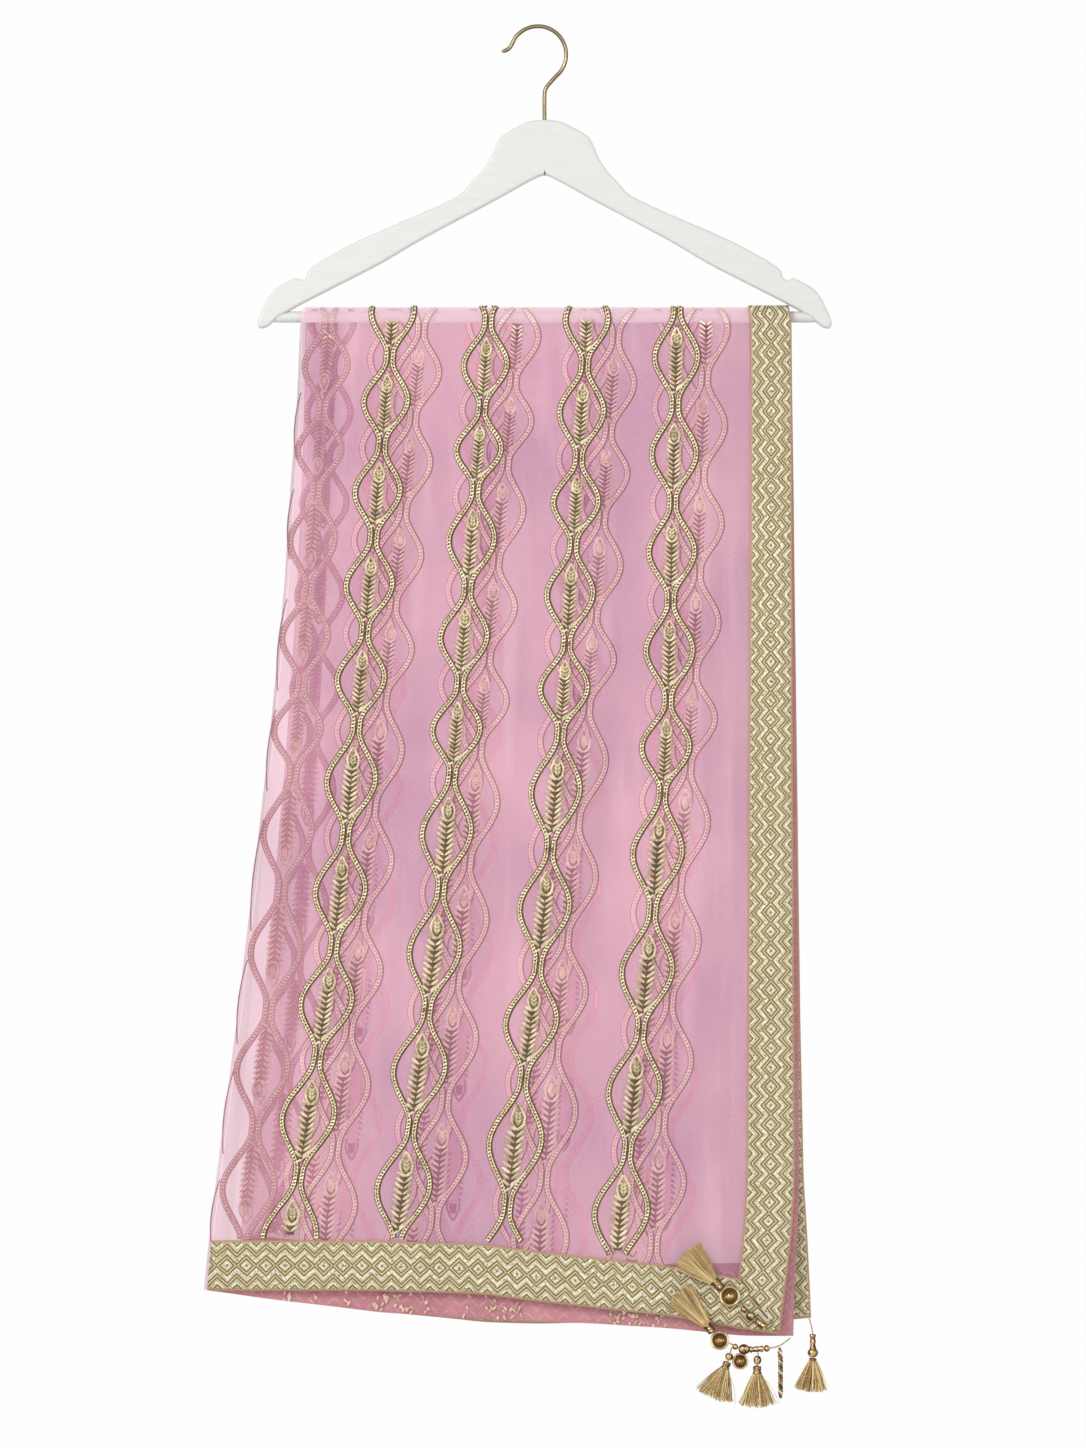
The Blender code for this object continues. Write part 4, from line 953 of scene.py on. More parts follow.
def add_spine(parts, line, spine, beads, fine):
    """Dark beads and a dark ribbon of painted shade along the spine, and on the back ply a pale glowing
    ribbon under them.
    """
    # painted shade: dark beads and a dark ribbon between the rows of grains
    add_stamps(parts, line, DOT, beads, TIE_AND_SHADE)
    wide = 3.6 if fine else 4.4
    add_ribbon(parts, line, line.middle(spine), spine, ((-wide, 0.25), (0.0, 0.7), (wide, 0.25)), TIE_AND_SHADE)
    if line.ply == "back_outer":
        add_ribbon(parts, line, line.middle(spine), spine, flat_profile(3.8, 0.12), UNDER)


def add_sprig(parts, line, start, end, fine):
    """A sprig between two necks; only what lies between the bar and the border is stitched."""
    grain = FINE_GRAIN if fine else PLAIN_GRAIN
    size = (end - start) / USUAL_LENS
    up = 1.0 if line.upward else -1.0

    def depth_at(share):
        return start + (end - start) * (share if line.upward else 1.0 - share)

    def shows(depth, above=3.0, below=4.0):
        return BAR_DEPTH + above < depth < line.end - below

    rows = [(row, depth_at(0.40 + 0.43 * row / (SPRIG_ROWS - 1))) for row in range(SPRIG_ROWS)]
    rows = [(row, depth) for row, depth in rows if shows(depth)]
    if rows:
        beads = add_leaves(parts, line, rows, up, size, grain)
        spine = np.array([depth_at(share) for share in np.linspace(0.34, 0.86, 12)])
        spine = spine[(spine > BAR_DEPTH + 2.0) & (spine < line.end - 2.0)]
        if len(spine) > 2:
            add_spine(parts, line, spine, beads, fine)

    tip = depth_at(0.30)
    if shows(tip, 9.0, 9.0):
        add_tip(parts, line, tip, up, size, grain)
    top, foot = depth_at(0.735), depth_at(0.885)
    if shows(min(top, foot), 4.0, 1.0) and shows(max(top, foot), 4.0, 1.0):
        add_stem(parts, line, top, foot)


# %% Ties and a whole column
def add_ties(parts, line, every):
    """A dark thread wound across both bands at some of the necks."""
    stamps = []
    for index, neck in enumerate(line.necks):
        if index % every == 0 and BAR_DEPTH + 4.0 < neck < line.end - 3.0:
            stamps.append((float(line.middle(neck)), neck, 1.0, 0.12, 8.6, 2.0, 2.2, 1.0))
            stamps.append((float(line.middle(neck)), neck + 2.4, 1.0, -0.15, 6.0, 1.3, 1.8, 1.1))
    if stamps:
        add_stamps(parts, line, PLAIN_GRAIN, stamps, TIE_AND_SHADE)


def build_column(name, line, finishes, replaced=()):
    """Both bands, all sprigs and the ties of one column; the columns inside are made a little plainer."""
    fine = finishes is OUTER_FINISHES
    parts = Parts()
    for hand in (-1.0, 1.0):
        add_band(parts, line, hand, 1.6 if fine else 2.6, BAND_PROFILE if fine else LIGHT_PROFILE)
    for start, end in line.lenses():
        add_sprig(parts, line, start, end, fine)
    if fine:
        add_ties(parts, line, 2)
    make_piece(name, parts, finishes, replaced)


# %% Build the columns of the outer plies
COLUMNS = (("front", FRONT_MIDDLES, FRONT_NECKS), ("back", BACK_MIDDLES, BACK_NECKS))
for side, all_middles, all_necks in COLUMNS:
    for key, middles in all_middles.items():
        nodes_there = (f"cord_{side}_{key}_left", f"cord_{side}_{key}_right")
        line = Line(side + "_outer", middles, all_necks[key], side == "front")
        build_column(f"embroidery_{side}_{key}", line, OUTER_FINISHES, nodes_there)

# %% [markdown]
# ## Embroidery that shows through
# The inner plies carry the same columns, and through the sheer front they show as pale pink shapes beside
# the gold ones. They hang a little apart from the front ones, and more so lower down.

# %% Build the columns of the inner plies
INNER_SHIFT = (24.0, 19.0, 19.0, 27.0, 30.0)
BACK_INNER_SHIFT = (1.0, 3.0, 5.0, 11.0, 13.0)
for key, middles in FRONT_MIDDLES.items():
    necks = [neck - 22.0 for neck in FRONT_NECKS[key]]
    line = Line("front_inner", middles, necks + [necks[-1] + 96.0], True, INNER_SHIFT)
    build_column("embroidery_front_inner_" + key, line, SEEN_FINISHES)
    line = Line("back_inner", middles, FRONT_NECKS[key], True, BACK_INNER_SHIFT, half_step=True, face=-1.0)
    build_column("embroidery_back_inner_" + key, line, FAR_FINISHES)
EDGE_MIDDLES = (-166.0, -192.0, -210.0, -232.0, -238.0)
line = Line("front_inner", EDGE_MIDDLES, FRONT_NECKS["b"], False)
build_column("embroidery_front_inner_fold", line, FOLD_FINISHES)
line = Line("back_inner", EDGE_MIDDLES, FRONT_NECKS["c"], False, (2.0, 12.0, 18.0, 22.0, 22.0), face=-1.0)
build_column("embroidery_back_inner_fold", line, FOLD_FINISHES)

# %% [markdown]
# ## Stitches below the front hem
# The inner ply hangs a little lower than the front one, so a strip of it shows below the border. The
# lowest stitches of its embroidery lie on that strip as loose groups of grains.

# %% Build the stitches below the hem
# middle of the group, half its width, number of grains
STITCH_GROUPS = (
    (-201.0, 4.0, 6), (-179.0, 2.5, 3), (-155.0, 6.0, 3), (-125.0, 6.0, 12),
    (-108.0, 7.0, 16), (-91.0, 4.0, 7), (-58.0, 3.0, 3), (-36.0, 6.0, 7),
    (-20.0, 8.0, 12), (64.0, 6.0, 10), (80.0, 7.0, 12), (97.0, 5.0, 8),
)
stitch_line = Line("front_inner", FRONT_MIDDLES["b"], FRONT_NECKS["b"], True)
stitch_parts = Parts()
for middle, half, count in STITCH_GROUPS:
    high = float(hem_depth("front_outer", middle)) + 0.5
    low = float(hem_depth("front_inner", middle)) - 1.2
    stitches = []
    for k in range(count):
        lean = (-1.0 if k % 2 else 1.0) * random.uniform(0.3, 1.0)
        stitches.append((middle + random.uniform(-half, half), random.uniform(high, low), lean, 1.0,
                         random.uniform(3.0, 4.8), 1.9, 1.3, 1.1))
    add_stamps(stitch_parts, stitch_line, FINE_GRAIN, stitches, 0)
make_piece("stitches_below_hem", stitch_parts, [hem_grain])

# %% [markdown]
# ## Round things
# Cords, wire, threads and bars are all circles swept along a path. One function makes them all.

# %% Round things along a path
def add_tube(parts, path, radii, sides, finish=0, twist=0.0):
    """Sweep a circle along a path of points, with a radius at each point, and close the ends."""
    path = np.array(path, float)
    radii = np.broadcast_to(np.asarray(radii, float), (len(path),))
    along = np.gradient(path, axis=0)
    along /= np.linalg.norm(along, axis=1, keepdims=True) + 1e-9
    guide = np.array((0.0, 1.0, 0.0))
    if abs(along[:, 1]).max() > 0.9:
        guide = np.array((1.0, 0.0, 0.0))
    side = np.cross(along, guide)
    side /= np.linalg.norm(side, axis=1, keepdims=True) + 1e-9
    up = np.cross(side, along)
    turn = TURN * np.arange(sides) / sides
    turn = turn[None, :] + twist * np.arange(len(path))[:, None]
    ring = side[:, None] * np.cos(turn)[..., None] + up[:, None] * np.sin(turn)[..., None]
    points = path[:, None] + ring * radii[:, None, None]
    lengths = np.concatenate([[0.0], np.cumsum(np.linalg.norm(np.diff(path, axis=0), axis=1))])
    pattern = grid_pattern(np.linspace(-1.0, 1.0, sides), lengths)
    parts.add(points, grid_faces(len(path), sides, True), pattern, finish)
    for row in (0, len(path) - 1):
        rim = points[row]
        fan = np.stack((np.arange(sides), (np.arange(sides) + 1) % sides, np.full(sides, sides)), axis=-1)
        caps = np.concatenate([rim, path[row][None]])
        parts.add(caps, fan, np.zeros((sides + 1, 2)), finish)

# %% [markdown]
# ## Cords at the left fold
# One column of cord lies right on the long fold, so that its waves peep out past the cloth's edge, in a
# dull dark mauve.

# %% Build the cords at the fold
# upper and lower end of each wave, as depths
FOLD_WAVES = ((292.0, 345.0), (369.0, 425.0), (457.0, 530.0), (545.0, 610.0), (633.0, 722.0), (745.0, 812.0),
              (833.0, 900.0), (921.0, 975.0))
fold_parts = Parts()
for first, last in FOLD_WAVES:
    depth = np.linspace(first, last, 24)
    share = (depth - first) / (last - first)
    x = edge_x("front_left", depth) + 3.0 - 3.3 * np.sin(math.pi * share) ** 0.8
    points = hang(-1, ply_pitch(depth) / 2.0, x, depth)
    add_tube(fold_parts, points, 0.6, 6)
make_piece("cords_at_fold", fold_parts, [mauve_cord])

# %% [markdown]
# ## The hanger
# The arms are cut from a flat board and their rims are rounded by a router, then painted white. We draw
# the same outline with smooth curves and roll the rim over in small steps.

# %% Finish of the painted wood
def paint_finish():
    """White paint on wood: faint brush lines, a few worn specks."""
    finish = Finish("white painted wood", 0.6, coat=0.05)
    brush = finish.noise(3.0, 4.0, stretch=(14.0, 120.0, 120.0))
    base = finish.ramp(brush, (0.35, (0.615, 0.615, 0.59)), (0.65, (0.64, 0.64, 0.615)))
    speck = finish.ramp(finish.noise(45.0, 6.0), (0.70, BLACK), (0.76, (0.5, 0.5, 0.5)))
    finish.paint(finish.mix(speck, base, (0.55, 0.53, 0.48)))
    finish.relief(brush, 0.00004, 0.2)
    return finish.material


white_paint = paint_finish()

# %% Outline of the arms
HANGER_MIDDLE = 5.3
HALF_THICK = 6.0
RIM_RADIUS = 2.4
# the right half of the board's outline: x from the middle, and depth
OUTLINE = (
    (0.0, 73.8), (12.5, 75.0), (22.9, 79.8), (34.9, 87.0), (38.1, 91.8), (42.9, 103.0),
    (49.3, 113.4), (58.1, 123.0), (70.1, 135.0), (146.9, 169.4), (174.1, 183.8), (185.3, 191.0),
    (189.0, 194.6), (190.6, 199.6), (194.3, 201.6), (198.9, 200.2), (205.3, 203.0), (214.9, 208.6),
    (221.3, 216.6), (225.7, 225.4), (229.6, 236.0), (227.9, 240.0), (221.3, 238.4), (213.3, 231.6),
    (194.1, 220.6), (176.5, 211.6), (131.7, 188.6), (98.9, 169.4), (38.9, 137.4), (8.0, 120.4),
    (0.0, 117.7),
)


def smooth_loop(points, steps, closed=True):
    """A curve through the points, rounded between them."""
    points = np.array(points, float)
    count = len(points)
    out = []
    spans = count if closed else count - 1
    for k in range(spans):
        if closed:
            p0, p1, p2, p3 = (points[(k + m) % count] for m in (-1, 0, 1, 2))
        else:
            p0, p1 = points[max(k - 1, 0)], points[k]
            p2, p3 = points[k + 1], points[min(k + 2, count - 1)]
        gap = np.linalg.norm(p2 - p1)
        before = (p2 - p0) / (np.linalg.norm(p2 - p1) + np.linalg.norm(p1 - p0) + 1e-9)
        after = (p3 - p1) / (np.linalg.norm(p3 - p2) + np.linalg.norm(p2 - p1) + 1e-9)
        for step in range(steps):
            t = step / steps
            h1, h2 = 2 * t**3 - 3 * t**2 + 1, t**3 - 2 * t**2 + t
            h3, h4 = -2 * t**3 + 3 * t**2, t**3 - t**2
            out.append(h1 * p1 + h2 * gap * before + h3 * p2 + h4 * gap * after)
    if not closed:
        out.append(points[-1])
    return np.array(out)


# %% Build the arms
def build_arms():
    """The board with a rolled rim, filled front and back."""
    right = [(x, -depth) for x, depth in OUTLINE]
    left = [(-x, -depth) for x, depth in OUTLINE[-2:0:-1]]
    loop = smooth_loop(right + left, 5)
    loop[:, 0] += HANGER_MIDDLE
    ahead, behind = np.roll(loop, -1, axis=0), np.roll(loop, 1, axis=0)
    along = (ahead - behind) / np.linalg.norm(ahead - behind, axis=1, keepdims=True)
    inward = np.stack((along[:, 1], -along[:, 0]), axis=1)
    area = np.sum(loop[:, 0] * np.roll(loop[:, 1], -1) - np.roll(loop[:, 0], -1) * loop[:, 1])
    if area > 0:
        inward = -inward
    rows = [(RIM_RADIUS * (1.0 - math.sin(angle)), -HALF_THICK + RIM_RADIUS * (1.0 - math.cos(angle)))
            for angle in np.radians(np.arange(0.0, 91.0, 15.0))]
    rows += [(inset, -y) for inset, y in reversed(rows)]
    points = np.zeros((len(rows), len(loop), 3))
    for k, (inset, y) in enumerate(rows):
        points[k, :, 0] = loop[:, 0] + inward[:, 0] * inset
        points[k, :, 1] = y
        points[k, :, 2] = loop[:, 1] + inward[:, 1] * inset
    parts = Parts()
    parts.add(points, grid_faces(len(rows), len(loop), True), np.zeros((len(rows) * len(loop), 2)))
    # painted shade: a small dark grain stands for the shade in the slot at the middle of the board
    slot_shape, slot_faces = grain_shape(4, 8)
    slot_at = np.array((HANGER_MIDDLE, -HALF_THICK + 0.15, -116.2))
    slot_points = slot_at + slot_shape[:, (1, 2, 0)] * np.array((1.5, 0.8, 4.2))
    parts.add(slot_points, slot_faces, np.zeros((len(slot_shape), 2)), 1)
    for row in (0, len(rows) - 1):
        flat = [(p[0], p[2], 0.0) for p in points[row]]
        faces = np.array(tessellate_polygon([flat]))
        parts.add(points[row], faces, np.zeros((len(flat), 2)))
    make_piece("hanger_arms", parts, [white_paint, dark_tie_and_shade], ("hanger_body",))


build_arms()

# %% [markdown]
# ## The bar and the hook
# A round bar joins the ends of the arms and carries the cloth. The hook is one piece of brass-plated
# wire, bent round a former. Both are made by sweeping circles along a smooth path.

# %% Finish of the wire
def wire_finish():
    """Brass wire, tarnished here and there, with painted shade darkening its sides away from the front."""
    finish = Finish("aged brass wire", 0.34, metallic=0.9)
    around = finish.pattern()[0]
    tarnish = finish.noise(160.0, 5.0)
    value = finish.math("MULTIPLY_ADD", finish.noise(30.0, 4.0), 0.6, finish.math("MULTIPLY", tarnish, 0.4))
    rubbed = finish.ramp(value, (0.36, (0.28, 0.21, 0.12)), (0.52, (0.38, 0.30, 0.18)),
                         (0.66, (0.50, 0.42, 0.27)))
    # painted shade: the wire's sides away from the front are painted darker, so its front looks lit
    from_front = finish.math("ABSOLUTE", finish.math("SUBTRACT", around, 0.6))
    dull = finish.ramp(from_front, (0.08, BLACK), (0.24, WHITE))
    finish.paint(finish.mix(dull, rubbed, (0.10, 0.068, 0.032)))
    finish.relief(tarnish, 0.0002, 0.3)
    return finish.material


brass_wire = wire_finish()

# %% Build the bar and the hook
BAR_REACH = 220.5
HOOK_RADIUS = 22.6
WIRE_RADIUS = 1.6
bar_steps = np.linspace(-BAR_REACH, BAR_REACH, 60)
bar_path = np.stack((HANGER_MIDDLE + bar_steps, 0.0 * bar_steps, -BAR_DEPTH + 0.0 * bar_steps), axis=1)
bar_radii = np.where(np.abs(bar_steps) > BAR_REACH - 4.0, BAR_RADIUS - 0.5, BAR_RADIUS)
bar_parts = Parts()
add_tube(bar_parts, bar_path, bar_radii, 28)
make_piece("hanger_round_bar", bar_parts, [white_paint], ("hanger_bar",))

hook_tip = [(-29.0, -18.6), (-25.4, -17.6), (-22.3, -15.2)]
hook_turn = np.radians(np.linspace(143.0, -50.0, 17))
hook_ring_z = WIRE_RADIUS - HOOK_RADIUS
hook_ring = [(HOOK_RADIUS * math.cos(a), hook_ring_z + HOOK_RADIUS * math.sin(a)) for a in hook_turn]
hook_neck = [(9.8, -43.6), (6.2, -48.4), (HANGER_MIDDLE, -54.0), (HANGER_MIDDLE, -74.5)]
hook_line = smooth_loop(hook_tip + hook_ring + hook_neck, 6, closed=False)
hook_path = np.stack((hook_line[:, 0], 0.0 * hook_line[:, 0], hook_line[:, 1]), axis=1)
hook_radii = np.full(len(hook_path), WIRE_RADIUS)
hook_radii[:5] = (0.7, 1.15, 1.4, 1.52, 1.58)
hook_parts = Parts()
add_tube(hook_parts, hook_path, hook_radii, 16)
foot = [(HANGER_MIDDLE, 0.0, z) for z in (-73.0, -73.4, -74.4)]
add_tube(hook_parts, foot, (1.7, 2.0, 2.1), 20)
make_piece("hanger_wire_hook", hook_parts, [brass_wire], ("hanger_hook",))

# %% [markdown]
# ## Beads and medallions
# The corners are weighted with cast beads in an old gold colour. A cast bead gets a painted highlight in
# stripes round it and is dark in its hollows. Round ones are turned shapes: a profile spun about an axis.

# %% Finishes of metal beads and tassel thread
def bead_finish(name, light, dark, roughness):
    """Old gold, worn unevenly, with a painted highlight in two stripes round it and darker between them."""
    finish = Finish(name, roughness, metallic=0.8)
    wear = finish.noise(260.0, 5.0)
    around = finish.pattern()[0]
    # painted highlight: two bright stripes round each bead
    painted_highlight = finish.math("POWER", finish.math("ABSOLUTE", finish.sine(around, TURN)), 4.0)
    value = finish.math("MULTIPLY_ADD", painted_highlight, 0.36, finish.math("SUBTRACT", wear, 0.25))
    finish.paint(finish.ramp(value, (0.32, dark), (0.62, light)))
    finish.relief(wear, 0.0004, 0.5)
    return finish.material


bright_gold = bead_finish("rubbed old gold", (0.80, 0.56, 0.25), (0.36, 0.20, 0.07), 0.16)
bronze = bead_finish("bronze beads", (0.74, 0.50, 0.22), (0.075, 0.038, 0.012), 0.16)
pale_gold = bead_finish("pale gold rim", (0.90, 0.75, 0.46), (0.55, 0.38, 0.16), 0.30)
deep_gold = bead_finish("dark gold hollow", (0.11, 0.055, 0.016), (0.035, 0.017, 0.006), 0.45)
cap_metal = bead_finish("dark antique cap", (0.50, 0.32, 0.13), (0.06, 0.03, 0.01), 0.18)
dull_cord = thread_finish("dull metal cord", (0.60, 0.46, 0.22), (0.22, 0.14, 0.06), 0.4, 0.3)


def tassel_finish():
    """Silky ochre threads, each of its own shade."""
    finish = Finish("ochre tassel thread", 0.5, sheen=0.2)
    shade = finish.pattern()[0]
    streak = finish.noise(320.0)
    value = finish.math("MULTIPLY_ADD", streak, 0.4, finish.math("MULTIPLY", shade, 0.6))
    finish.paint(finish.ramp(value, (0.22, (0.25, 0.145, 0.045)), (0.38, (0.52, 0.345, 0.12)),
                             (0.58, (0.70, 0.50, 0.205)), (0.80, (0.90, 0.72, 0.38))))
    finish.relief(streak, 0.0002, 0.3)
    return finish.material


ochre_thread = tassel_finish()

# %% Turned shapes
def add_turned(parts, centre, axis, profile, sides, finish):
    """Spin a profile of (along the axis, radius) round an axis."""
    axis = np.array(axis, float)
    axis /= np.linalg.norm(axis)
    guide = np.array((0.0, 1.0, 0.0)) if abs(axis[1]) < 0.9 else np.array((1.0, 0.0, 0.0))
    side = np.cross(axis, guide)
    side /= np.linalg.norm(side)
    up = np.cross(side, axis)
    turn = TURN * np.arange(sides) / sides
    ring = side[None] * np.cos(turn)[:, None] + up[None] * np.sin(turn)[:, None]
    places = np.array([along for along, _ in profile])
    radii = np.array([radius for _, radius in profile])
    points = np.array(centre)[None, None] + axis[None, None] * places[:, None, None]
    points = points + ring[None] * radii[:, None, None]
    pattern = grid_pattern(np.linspace(0.0, 1.0, sides), places)
    parts.add(points, grid_faces(len(profile), sides, True), pattern, finish)


def ball_profile(radius, half_length, steps=10, hole=0.25):
    """Profile of a bead with a small hole at each end."""
    turn = np.linspace(math.asin(hole), math.pi - math.asin(hole), steps)
    return [(-half_length * math.cos(a), radius * math.sin(a)) for a in turn]


def middle_y(node):
    """Place of a solid node from front to back, in millimetres."""
    low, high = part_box(node)
    return (low[1] + high[1]) / 2.0 / MM


# %% Build the medallions
HALF_DISC = 1.3
# profiles of (towards the front, share of the radius)
DISC = (
    (-1.3, 0.86), (-0.8, 0.97), (0.0, 1.0), (0.8, 0.97),
    (1.25, 0.91), (1.35, 0.85), (1.15, 0.79), (0.6, 0.75),
)
BOWL = ((0.6, 0.75), (0.15, 0.70), (0.05, 0.54), (0.2, 0.46))
RING = ((0.2, 0.46), (0.9, 0.45), (1.1, 0.43), (1.0, 0.40), (0.5, 0.37))
MEDALLIONS = (
    ("medallion_on_border", "medallion_front", 152.8, -1012.6, 8.6),
    ("medallion_below_hem", "medallion_inner", 144.8, -1047.8, 7.7),
    ("medallion_lowest", "medallion_low", 161.2, -1064.4, 6.6),
)


def disc_y(node):
    """Middle of a medallion from front to back, in millimetres."""
    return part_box(node)[1][1] / MM - HALF_DISC


def build_medallion(name, node, x, z, radius):
    """Raised rim with a row of grains, a dark bowl and a polished half ball."""
    y = disc_y(node)
    front = (0.0, -1.0, 0.0)
    parts = Parts()

    def add(profile, sides, finish):
        add_turned(parts, (x, y, z), front, profile, sides, finish)

    add([(-HALF_DISC, 0.01)] + [(out, share * radius) for out, share in DISC], 40, 2)
    add([(out, share * radius) for out, share in BOWL], 40, 1)
    add([(out, share * radius) for out, share in RING], 32, 0)
    ball_turn = np.radians((0, 15, 32, 50, 68, 84, 89))
    add([(0.5 + radius * 0.30 * math.sin(a), radius * 0.35 * math.cos(a)) for a in ball_turn], 28, 0)
    for k in range(20):
        turn = TURN * k / 20
        spot = (x + radius * 0.62 * math.cos(turn), y - 0.25, z + radius * 0.62 * math.sin(turn))
        add_turned(parts, spot, front, ball_profile(radius * 0.062, 0.5, 6, 0.05), 8, 0)
    make_piece(name, parts, [bright_gold, deep_gold, pale_gold], (node,))


for medallion in MEDALLIONS:
    build_medallion(*medallion)

# %% [markdown]
# ## Bead strings and the braid
# Between the corners and the tassels run short strings of tube beads, round beads and ridged ones on a
# twisted thread, and one braided drop of metal thread.

# %% Build the strings
BEAD_SWELL, BEAD_STRETCH = 1.4, 1.2
DISC_Y = disc_y("medallion_front")
HEM_Y = -16.4
BACK_Y = 6.2
# half of a ridged tube bead: share of its half length, share of its radius
TUBE_HALF = ((-1.0, 0.35), (-1.0, 0.8), (-0.88, 1.0), (-0.70, 1.0), (-0.62, 0.78))
TUBE_BEAD = TUBE_HALF + tuple((-place, share) for place, share in reversed(TUBE_HALF))
# name, solid node, corners of the thread, and beads: share of the way, half length as a share of it, radius
STRINGS = (
    ("beads_on_border", "bead_string_front",
     ((187.6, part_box("bead_string_front")[1][1] / MM - 0.9, -1039.6), (179.2, DISC_Y - 1.6, -1035.8),
      (167.0, DISC_Y - 1.6, -1026.4), (159.8, DISC_Y - 0.4, -1018.9)),
     ((0.34, 0.09, 2.0), (0.62, 0.075, 2.7), (0.83, 0.06, 1.7))),
    ("beads_below_hem", "bead_string_inner",
     ((201.6, -6.6, -1047.0), (192.0, -10.6, -1053.0), (177.0, HEM_Y, -1054.6), (160.8, HEM_Y, -1054.4),
      (152.6, HEM_Y, -1049.8)),
     ((0.42, 0.035, 2.0), (0.58, 0.085, 1.9), (0.76, 0.07, 3.0), (0.90, 0.035, 1.7))),
    ("beads_at_back_corner", "bead_string_back",
     ((217.4, BACK_Y, -1032.9), (219.8, BACK_Y, -1043.0), (220.3, BACK_Y, -1064.0)),
     ((0.60, 0.16, 1.9), (0.88, 0.10, 3.1))),
    ("bead_drop_at_left", "bead_drop_left", ((154.4, HEM_Y, -1053.4), (151.4, HEM_Y, -1064.2)),
     ((0.68, 0.22, 2.4),)),
    ("bead_drop_in_middle", "bead_drop_middle", ((175.4, HEM_Y, -1057.4), (174.6, HEM_Y, -1067.4)),
     ((0.6, 0.3, 2.3),)),
)


def point_along(path, share):
    """A point a share of the way along a path, the path's direction there and its whole length."""
    path = np.array(path, float)
    gaps = np.linalg.norm(np.diff(path, axis=0), axis=1)
    lengths = np.concatenate([[0.0], np.cumsum(gaps)])
    distance = share * lengths[-1]
    k = min(int(np.searchsorted(lengths, distance, side="right")) - 1, len(path) - 2)
    t = (distance - lengths[k]) / gaps[k]
    return path[k] + (path[k + 1] - path[k]) * t, (path[k + 1] - path[k]) / gaps[k], lengths[-1]


def build_string(name, node, corners, beads):
    """A twisted thread through the corners, with long ridged beads and round ones with collars."""
    parts = Parts()
    thread = smooth_loop(corners, 8, closed=False)
    add_tube(parts, thread, 0.55, 8, 2, twist=0.5)
    for share, half, radius in beads:
        spot, direction, total = point_along(thread, share)
        radius = radius * BEAD_SWELL
        reach = half * total * BEAD_STRETCH
        if reach > 1.15 * radius:
            tube = [(place * reach, wide * radius) for place, wide in TUBE_BEAD]
            add_turned(parts, spot, direction, tube, 16, 0)
            add_turned(parts, spot, direction, ball_profile(0.93 * radius, 0.55 * reach, 9), 16, 0)
            continue
        add_turned(parts, spot, direction, ball_profile(radius, reach, 11), 18, 0)
        for end in (-1.0, 1.0):
            at = end * 0.82 * reach
            wide = 0.62 * radius
            collar = [(at - 0.25, 0.5), (at - 0.2, wide), (at + 0.2, wide), (at + 0.25, 0.5)]
            add_turned(parts, spot, direction, collar, 14, 1)
    make_piece(name, parts, [bronze, cap_metal, dull_cord], (node,))


for string in STRINGS:
    build_string(*string)

# %% Build the braid
BRAID_STRANDS = 3
BRAID_TURNS = 5.0
BRAID_LENGTH = 40.0
braid_parts = Parts()
braid_share = np.linspace(0.0, 1.0, 90)
for strand in range(BRAID_STRANDS):
    turn = braid_share * TURN * BRAID_TURNS + strand * TURN / BRAID_STRANDS
    fade = np.minimum(1.0, np.minimum(braid_share, 1.0 - braid_share) * 12.0)
    x = 192.8 + 0.8 * smooth_step(braid_share * 4.0) + 1.1 * np.cos(turn) * fade
    y = -10.4 + 1.0 * np.sin(turn) * fade
    path = np.stack((x, y, -1054.4 - BRAID_LENGTH * braid_share), axis=1)
    add_tube(braid_parts, path, 0.95, 8, strand % 2)
make_piece("braided_drop", braid_parts, [cap_metal, gold_grain], ("braid_drop",))

# %% [markdown]
# ## Tassels
# A tassel is a bundle of silky threads held by a metal cap, and its threads fan out because they were cut
# and combed. Each thread is a fine tube with its own shade, its own length and a slight bend.

# %% Build the tassels
THREADS = 190
STRAY_THREADS = 4
DEPTH_HALF = 3.6  # how far the fan reaches to the front and to the back
# the cap: share of its length, radius as a share of the head's
CAP = (
    (0.0, 0.2), (0.02, 0.5), (0.10, 0.86), (0.17, 1.0), (0.26, 1.02), (0.32, 0.84), (0.40, 0.82),
    (0.46, 0.98), (0.56, 1.02), (0.62, 0.86), (0.70, 0.84), (0.80, 0.96), (0.93, 1.06), (1.0, 1.02),
    (1.0, 0.9),
)
# name, solid node, top of the head, direction (x, z), length, width, radius and length of the head
TASSELS = (
    ("tassel_on_border", "tassel_front", (146.32, middle_y("tassel_front"), -1006.43), (-25.6, 24.4),
     34.0, 29.0, 3.6, 9.0),
    ("tassel_below_hem", "tassel_inner", (139.4, middle_y("tassel_inner"), -1041.6), (-27.6, 31.6),
     37.0, 25.0, 3.4, 8.0),
    ("tassel_at_left", "tassel_left", (151.2, HEM_Y, -1064.5), (-10.4, -27.2), 27.5, 33.0, 3.3, 6.0),
    ("tassel_in_middle", "tassel_middle", (174.6, HEM_Y, -1067.7), (0.4, -28.8), 28.5, 30.0, 3.4, 6.6),
    ("tassel_at_back", "tassel_back", (220.3, BACK_Y, -1064.3), (-1.6, -28.0), 26.5, 27.0, 3.0, 2.5),
)


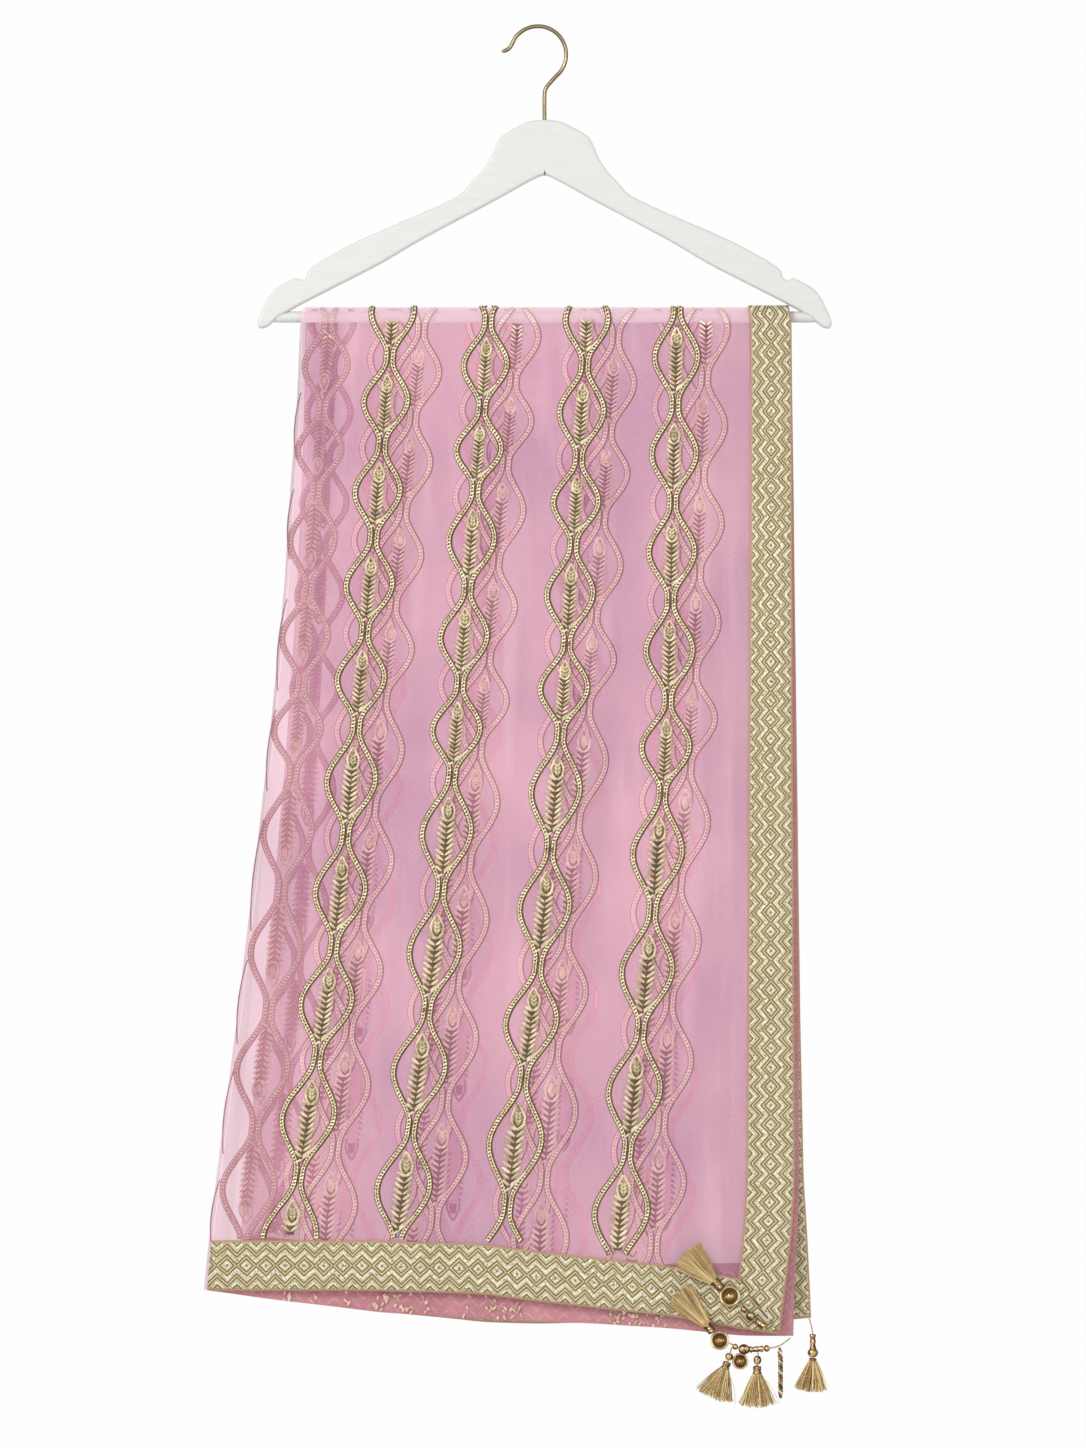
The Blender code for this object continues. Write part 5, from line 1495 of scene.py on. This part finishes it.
def build_tassel(name, node, top, direction, length, width, radius, head_length):
    """A cap with rings and threads that fan out."""
    along = np.array((direction[0], 0.0, direction[1]))
    along /= np.linalg.norm(along)
    front = np.array((0.0, -1.0, 0.0))
    sideways = np.cross(along, front)
    top = np.array(top)
    parts = Parts()
    add_turned(parts, top, along, [(place * head_length, share * radius) for place, share in CAP], 24, 1)
    for k in range(14):
        turn = TURN * k / 14
        ring = sideways * math.cos(turn) + front * math.sin(turn)
        spot = top + along * head_length * 0.36 + ring * radius * 0.88
        add_turned(parts, spot, ring, ball_profile(0.42, 0.42, 5, 0.05), 6, 2)

    base = top + along * head_length
    spread = width / 2.0
    held = 0.8 * radius
    reach = np.linspace(0.0, 1.0, 8)
    fan = reach**0.9
    for _ in range(THREADS):
        turn = random.uniform(0.0, TURN)
        far = math.sqrt(random.uniform(0.0, 1.0))
        side_share, front_share = far * math.cos(turn), far * math.sin(turn)
        side_share = np.clip(side_share + random.normal(0.0, 0.05), -1.0, 1.0)
        trim = length * (1.0 - 0.10 * side_share**2) * random.uniform(0.90, 1.0)
        bend = random.normal(0.0, 0.9)
        aside = side_share * (held + (spread - held) * fan) + bend * np.sin(math.pi * reach) * 0.6
        forward = front_share * (held + (DEPTH_HALF - held) * fan)
        path = base - along + np.outer(trim * reach, along)
        path = path + np.outer(aside, sideways) + np.outer(forward, front)
        add_tube(parts, path, 0.36 - 0.14 * reach, 4)
        shade = random.uniform(0.0, 1.0)
        for pattern in parts.pattern[-3:]:
            pattern[:, 0] = shade
    for _ in range(STRAY_THREADS):
        turn = random.uniform(-1.0, 1.0)
        aside = turn * 1.12 * spread * reach**0.7 + 1.6 * turn * np.sin(3.0 * reach)
        path = base + np.outer(length * (0.98 - 0.12 * abs(turn)) * reach, along) + np.outer(aside, sideways)
        add_tube(parts, path, 0.18, 4)
    make_piece(name, parts, [ochre_thread, cap_metal, bright_gold], (node,))


for tassel in TASSELS:
    build_tassel(*tassel)

# %% [markdown]

# %% [markdown]
# ## Light, floor and camera
# The picture is a plain catalogue view: straight on, from far away, in even light with a slightly
# stronger lamp at the upper left. A small pale floor lies below the picture.

# %% World
world = bpy.data.worlds.new("pale room")
bpy.context.scene.world = world
world.use_nodes = True
room = Nodes(world.node_tree)
split = room.nodes.new("ShaderNodeSeparateXYZ")
room.links.new(room.nodes.new("ShaderNodeTexCoord").outputs["Generated"], split.inputs[0])
upwards = room.math("MULTIPLY_ADD", split.outputs["Z"], 0.5, 0.5)
sky = room.ramp(
    upwards, (0.0, (0.42, 0.42, 0.41)), (0.16, (0.45, 0.45, 0.44)), (0.27, (0.99, 0.99, 0.99)),
    (0.70, (0.99, 0.99, 0.99)), (0.82, (0.60, 0.60, 0.60)), (1.0, (0.60, 0.60, 0.60)))
room.links.new(sky, room.nodes["Background"].inputs["Color"])

# %% Lamps
# name, place, height on the object's middle that it looks at, size, power
LAMPS = (
    ("window_lamp", (-1.7, -2.3, 0.8), -0.5, 0.8, 44.0),
    ("fill_lamp", (1.9, -2.4, -0.2), -0.6, 1.6, 8.0),
    ("back_lamp", (0.9, 2.4, 0.6), -0.5, 1.2, 18.0),
)
for name, place, look_at, size, power in LAMPS:
    data = bpy.data.lights.new(name, "AREA")
    data.size, data.energy = size, power
    lamp = bpy.data.objects.new(name, data)
    bpy.context.scene.collection.objects.link(lamp)
    lamp.location = place
    look = np.array((0.0, 0.0, look_at)) - np.array(place)
    lamp.rotation_euler = Vector(look).to_track_quat("-Z", "Y").to_euler()
    print(f"{name}: {power} W")

# %% Floor
FLOOR_RADIUS, FLOOR_Z, FLOOR_CORNERS = 1.4, -1.35, 96
floor_points = [(FLOOR_RADIUS * math.cos(turn), FLOOR_RADIUS * math.sin(turn), FLOOR_Z)
                for turn in TURN * np.arange(FLOOR_CORNERS) / FLOOR_CORNERS]
floor_mesh = bpy.data.meshes.new("floor")
floor_mesh.from_pydata(floor_points, [], [tuple(range(FLOOR_CORNERS))])
floor_finish = Finish("pale floor", 0.8)
floor_finish.paint(floor_finish.ramp(
    floor_finish.noise(14.0, 4.0), (0.3, (0.80, 0.79, 0.77)), (0.7, (0.84, 0.83, 0.81))))
floor_mesh.materials.append(floor_finish.material)
floor = bpy.data.objects.new("floor", floor_mesh)
bpy.context.scene.collection.objects.link(floor)
print("floor:", FLOOR_Z, "m")

# %% Camera
PIXEL = 0.8
VIEW_HEIGHT = 1448 * PIXEL * MM
CAMERA_DISTANCE = 4.2
SENSOR = 36.0
camera_data = bpy.data.cameras.new("catalogue_camera")
camera_data.sensor_width = SENSOR
camera_data.lens = SENSOR * CAMERA_DISTANCE / VIEW_HEIGHT
camera = bpy.data.objects.new("catalogue_camera", camera_data)
camera.location = (0.004, -CAMERA_DISTANCE, -0.5566)
camera.rotation_euler = (math.radians(90.0), 0.0, 0.0)
bpy.context.scene.collection.objects.link(camera)
bpy.context.scene.camera = camera
bpy.context.scene.view_settings.view_transform = "Standard"
print("camera: lens", round(camera_data.lens, 1), "mm, view", round(VIEW_HEIGHT, 3), "m high")
